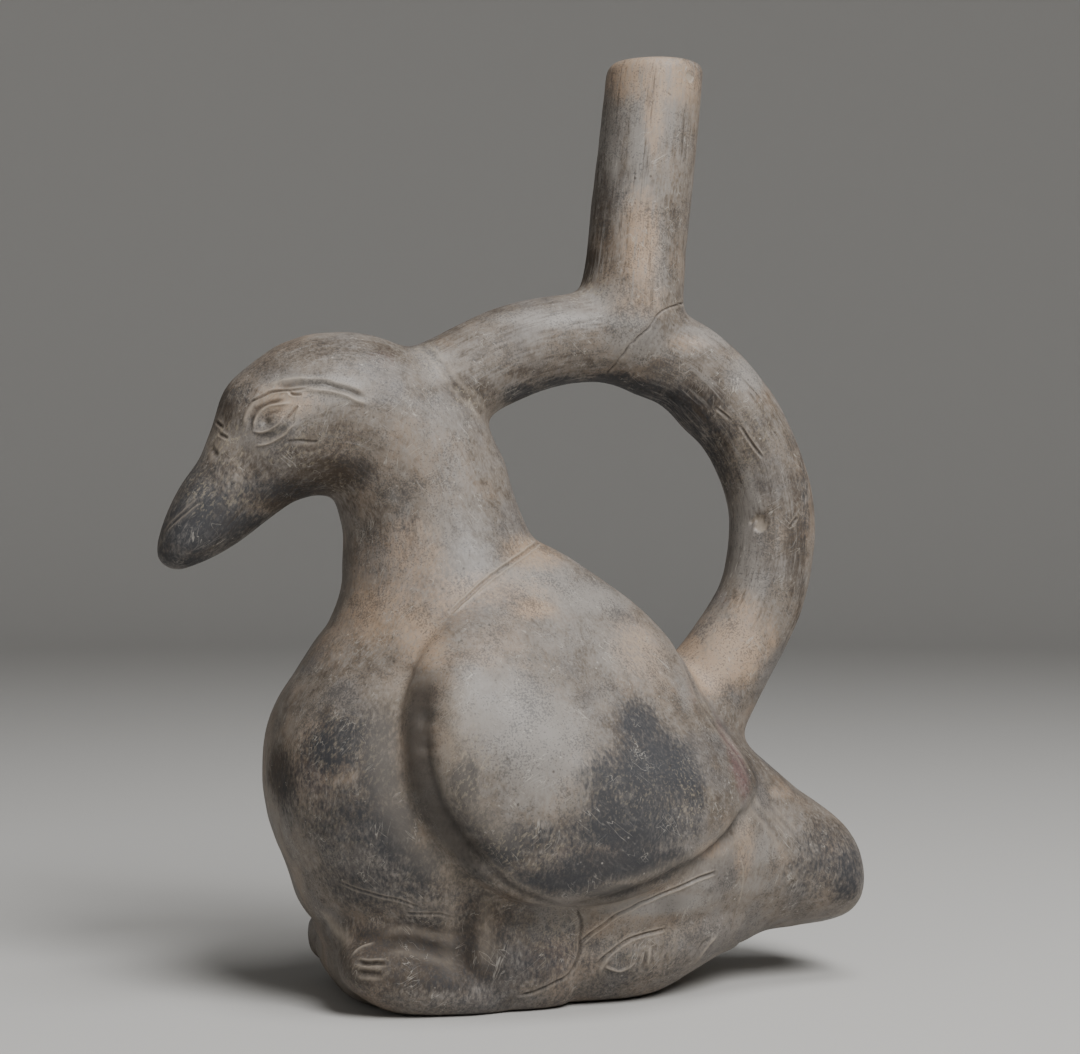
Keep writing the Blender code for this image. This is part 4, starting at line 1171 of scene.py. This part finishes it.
def burnishedClay(settings, groups):
    material, tree, shader = newMaterial("burnishedClay")
    shader.inputs["Specular IOR Level"].default_value = settings["specular"]
    place = addNode(tree, "ShaderNodeTexCoord").outputs["Object"]

    def patch(name, breakup):
        return placeGroup(tree, groups["patch"], Vector=place, Mask=field(tree, name), Breakup=breakup)["Mask"]

    broad = noiseNode(tree, place, 28.0, 3.0, 0.6)
    mottle = noiseNode(tree, place, 170.0, 4.0, 0.62)
    mixed = plus(tree, times(tree, broad, 0.6), times(tree, mottle, 0.4))
    cloudy = noiseNode(tree, place, 420.0, 4.0, 0.65)
    tint = noiseNode(tree, place, 55.0, 3.0, 0.6, moved=(0.5, 0.9, 0.3))
    # brown and soot patches: fired colour, and painted shade under the chin, the arch and the wing and low on the body
    brownAndShadeMask = patch("brown", 0.4)
    sootAndShadeMask = patch("sootAndShade", 0.45)
    darkened = maths(tree, "MAXIMUM", sootAndShadeMask, brownAndShadeMask)
    streak = placeGroup(tree, groups["burnish"], Vector=field(tree, "flow", "Vector"),
                        Strength=field(tree, "flowStrength"))
    strokes = placeGroup(tree, groups["strokes"], Vector=place)
    lightStrokes = times(tree, strokes["Light"], stretched(tree, darkened, 1.0, 0.0, 0.14, 0.38))
    rubbed = noiseNode(tree, place, 1500.0, 3.0, 0.6, stretch=(1, 1, 0.5), turned=(0.4, 0.5, 0.1))
    flecks = times(tree, stretched(tree, rubbed, 0.54, 0.64), field(tree, "flecked"))
    grain = placeGroup(tree, groups["grain"], Vector=place)
    scratch = placeGroup(tree, groups["scratch"], Vector=place)["Mask"]

    coats = (   # from the lowest up: where, colour, how much
        (stretched(tree, mixed, 0.56, 0.36), "brown", 0.6),
        (stretched(tree, cloudy, 0.5, 0.32), "brown", 0.5),
        (stretched(tree, cloudy, 0.5, 0.68), "palest", 0.4),
        (stretched(tree, tint, 0.52, 0.64), "tan", 0.2),
        (stretched(tree, tint, 0.5, 0.38), "slate", 0.3),
        # pale patches, partly painted highlights
        (patch("pale", 0.3), "palest", 1),
        (patch("warm", 0.3), "tan", 0.75),
        (brownAndShadeMask, "brown", 0.88),
        (patch("rose", 0.3), "rose", 0.6),
        (sootAndShadeMask, "sootAndShade", 0.9),
        (stretched(tree, streak["Streak"], 0.0, 0.2), "palest", 0.75),
        (stretched(tree, streak["Streak"], 0.0, -0.2), "brown", 0.75),
        (lightStrokes, "palest", 1),
        (strokes["Dark"], "sootAndShade", 0.46),
        (flecks, "fleck", 0.6),
        (grain["Pale"], "speck", 0.5),
        (scratch, "speck", 0.45),
        (grain["Dark"], "grooveDirtAndShade", 0.6),
        (field(tree, "worn"), "wornEdge", 0.75),
        # dirt in the grooves, and painted shade in the troughs and under the wing
        (field(tree, "dirtAndShade"), "grooveDirtAndShade", 0.86),
    )
    colour = settings["clay"]
    for mask, name, share in coats:
        colour = blended(tree, mask if share == 1 else times(tree, mask, share), colour, settings[name])
    feed(tree, shader.inputs["Base Color"], colour)

    rough = plus(tree, settings["roughness"], times(tree, minus(tree, mottle, 0.5), 0.35))
    rough = minus(tree, rough, times(tree, streak["Streak"], 0.5))
    rough = plus(tree, rough, times(tree, darkened, 0.24))
    rough = plus(tree, rough, times(tree, strokes["Light"], 0.12), clamp=True)
    feed(tree, shader.inputs["Roughness"], rough)
    height = plus(tree, times(tree, grain["Height"], 0.4), times(tree, streak["Height"], 0.5))
    height = plus(tree, height, times(tree, strokes["Grain"], 0.5))
    bumped(tree, shader, height, settings["bump"], settings["bumpReach"])
    return material


def bareClay(settings, groups):
    # the unpolished clay of the inside
    material, tree, shader = newMaterial("bareClay")
    place = addNode(tree, "ShaderNodeTexCoord").outputs["Object"]
    grain = placeGroup(tree, groups["grain"], Vector=place)
    cloud = noiseNode(tree, place, 90.0, 4.0, 0.6)
    colour = blended(tree, stretched(tree, cloud, 0.35, 0.65), settings["sootAndShade"], settings["brown"])
    colour = blended(tree, times(tree, grain["Pale"], 0.4), colour, settings["clay"])
    feed(tree, shader.inputs["Base Color"], colour)
    feed(tree, shader.inputs["Roughness"], stretched(tree, cloud, 0.2, 0.8, 0.75, 0.95))
    bumped(tree, shader, grain["Height"], settings["insideBump"], settings["insideReach"])
    return material


groups = {
    "patch": patchGroup(), "burnish": burnishGroup(), "strokes": strokeGroup(),
    "scratch": scratchGroup(), "grain": grainGroup(),
}
pot.data.materials.clear()
pot.data.materials.append(burnishedClay(blackware, groups))
pot.data.materials.append(bareClay(blackware, groups))
loops = np.empty(len(pot.data.polygons) * 3, int)
pot.data.polygons.foreach_get("vertices", loops)
pot.data.polygons.foreach_set("material_index", isInside[loops.reshape(-1, 3)].all(axis=1).astype(np.int32))
pot.data.shade_smooth()
pot.data.set_sharp_from_angle(angle=math.radians(60))
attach(pot, "root")
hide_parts("duck_vessel")
print("materials set")


# floor, light and camera
studio = {
    "floorReach": 1.6,
    "floorSweep": 0.8,
    "floorTop": 2.2,
    "floorPoints": 96,
    "floorColour": (0.54, 0.53, 0.51),
    "floorRoughness": 0.8,
    "world": 0.09,
    "lights": {   # place, size and watts
        "keySoftbox": ((0.32, -0.95, 1.0), 0.7, 22.5),
        "topSoftbox": ((0.15, -0.3, 1.15), 0.5, 5),
        "leftFill": ((-0.95, -0.6, 0.45), 0.6, 0.7),
    },
    "aim": (0, 0, 0.1),
}


def studioFloor(settings):
    # a round floor whose edge sweeps up, so no horizon shows
    reach, sweep, count = settings["floorReach"], settings["floorSweep"], settings["floorPoints"]
    profile = [(reach * k / 6, 0.0) for k in range(1, 7)]
    profile += [(reach + sweep * math.sin(a), sweep * (1 - math.cos(a))) for a in quarterTurn(12)[1:]]
    profile.append((reach + sweep, settings["floorTop"]))
    shape = bmesh.new()
    centre = shape.verts.new((0, 0, 0))
    turns = [2 * math.pi * k / count for k in range(count)]
    rings = [[shape.verts.new((r * math.cos(t), r * math.sin(t), z)) for t in turns] for r, z in profile]
    for k in range(count):
        shape.faces.new((centre, rings[0][k], rings[0][(k + 1) % count]))
    for near, far in zip(rings, rings[1:]):
        for k in range(count):
            shape.faces.new((near[k], far[k], far[(k + 1) % count], near[(k + 1) % count]))
    mesh = closed(shape, bpy.data.meshes.new("studioFloor"))
    mesh.shade_smooth()
    floor = addItem("studioFloor", mesh)
    material, tree, shader = newMaterial("paleFloor")
    feed(tree, shader.inputs["Base Color"], settings["floorColour"])
    feed(tree, shader.inputs["Roughness"], settings["floorRoughness"])
    mesh.materials.append(material)


def aimAt(item, spot):
    item.rotation_euler = (Vector(spot) - item.location).to_track_quat("-Z", "Y").to_euler()


def studioLights(settings):
    for name, (spot, size, watts) in settings["lights"].items():
        light = bpy.data.lights.new(name, "AREA")
        light.shape = "DISK"
        light.size = size
        light.energy = watts
        item = addItem(name, light)
        item.location = spot
        aimAt(item, settings["aim"])
    world = bpy.data.worlds.new("studioAir")
    world.use_nodes = True
    background = world.node_tree.nodes["Background"]
    background.inputs["Color"].default_value = (1, 1, 1, 1)
    background.inputs["Strength"].default_value = settings["world"]
    scene.world = world


view = {
    "azimuth": -15.0, "distance": 0.55, "side": 0.0051, "height": 0.1058,
    "lens": 79.6, "sensor": 36, "nearest": 0.01,
}
studioFloor(studio)
studioLights(studio)
lens = bpy.data.cameras.new("camera")
lens.lens = view["lens"]
lens.sensor_width = view["sensor"]
lens.clip_start = view["nearest"]
camera = addItem("camera", lens)
turn = math.radians(view["azimuth"])
away = view["distance"]
camera.location = (math.sin(turn) * away + view["side"], -math.cos(turn) * away, view["height"])
camera.rotation_euler = (math.pi / 2, 0, turn)
scene.camera = camera
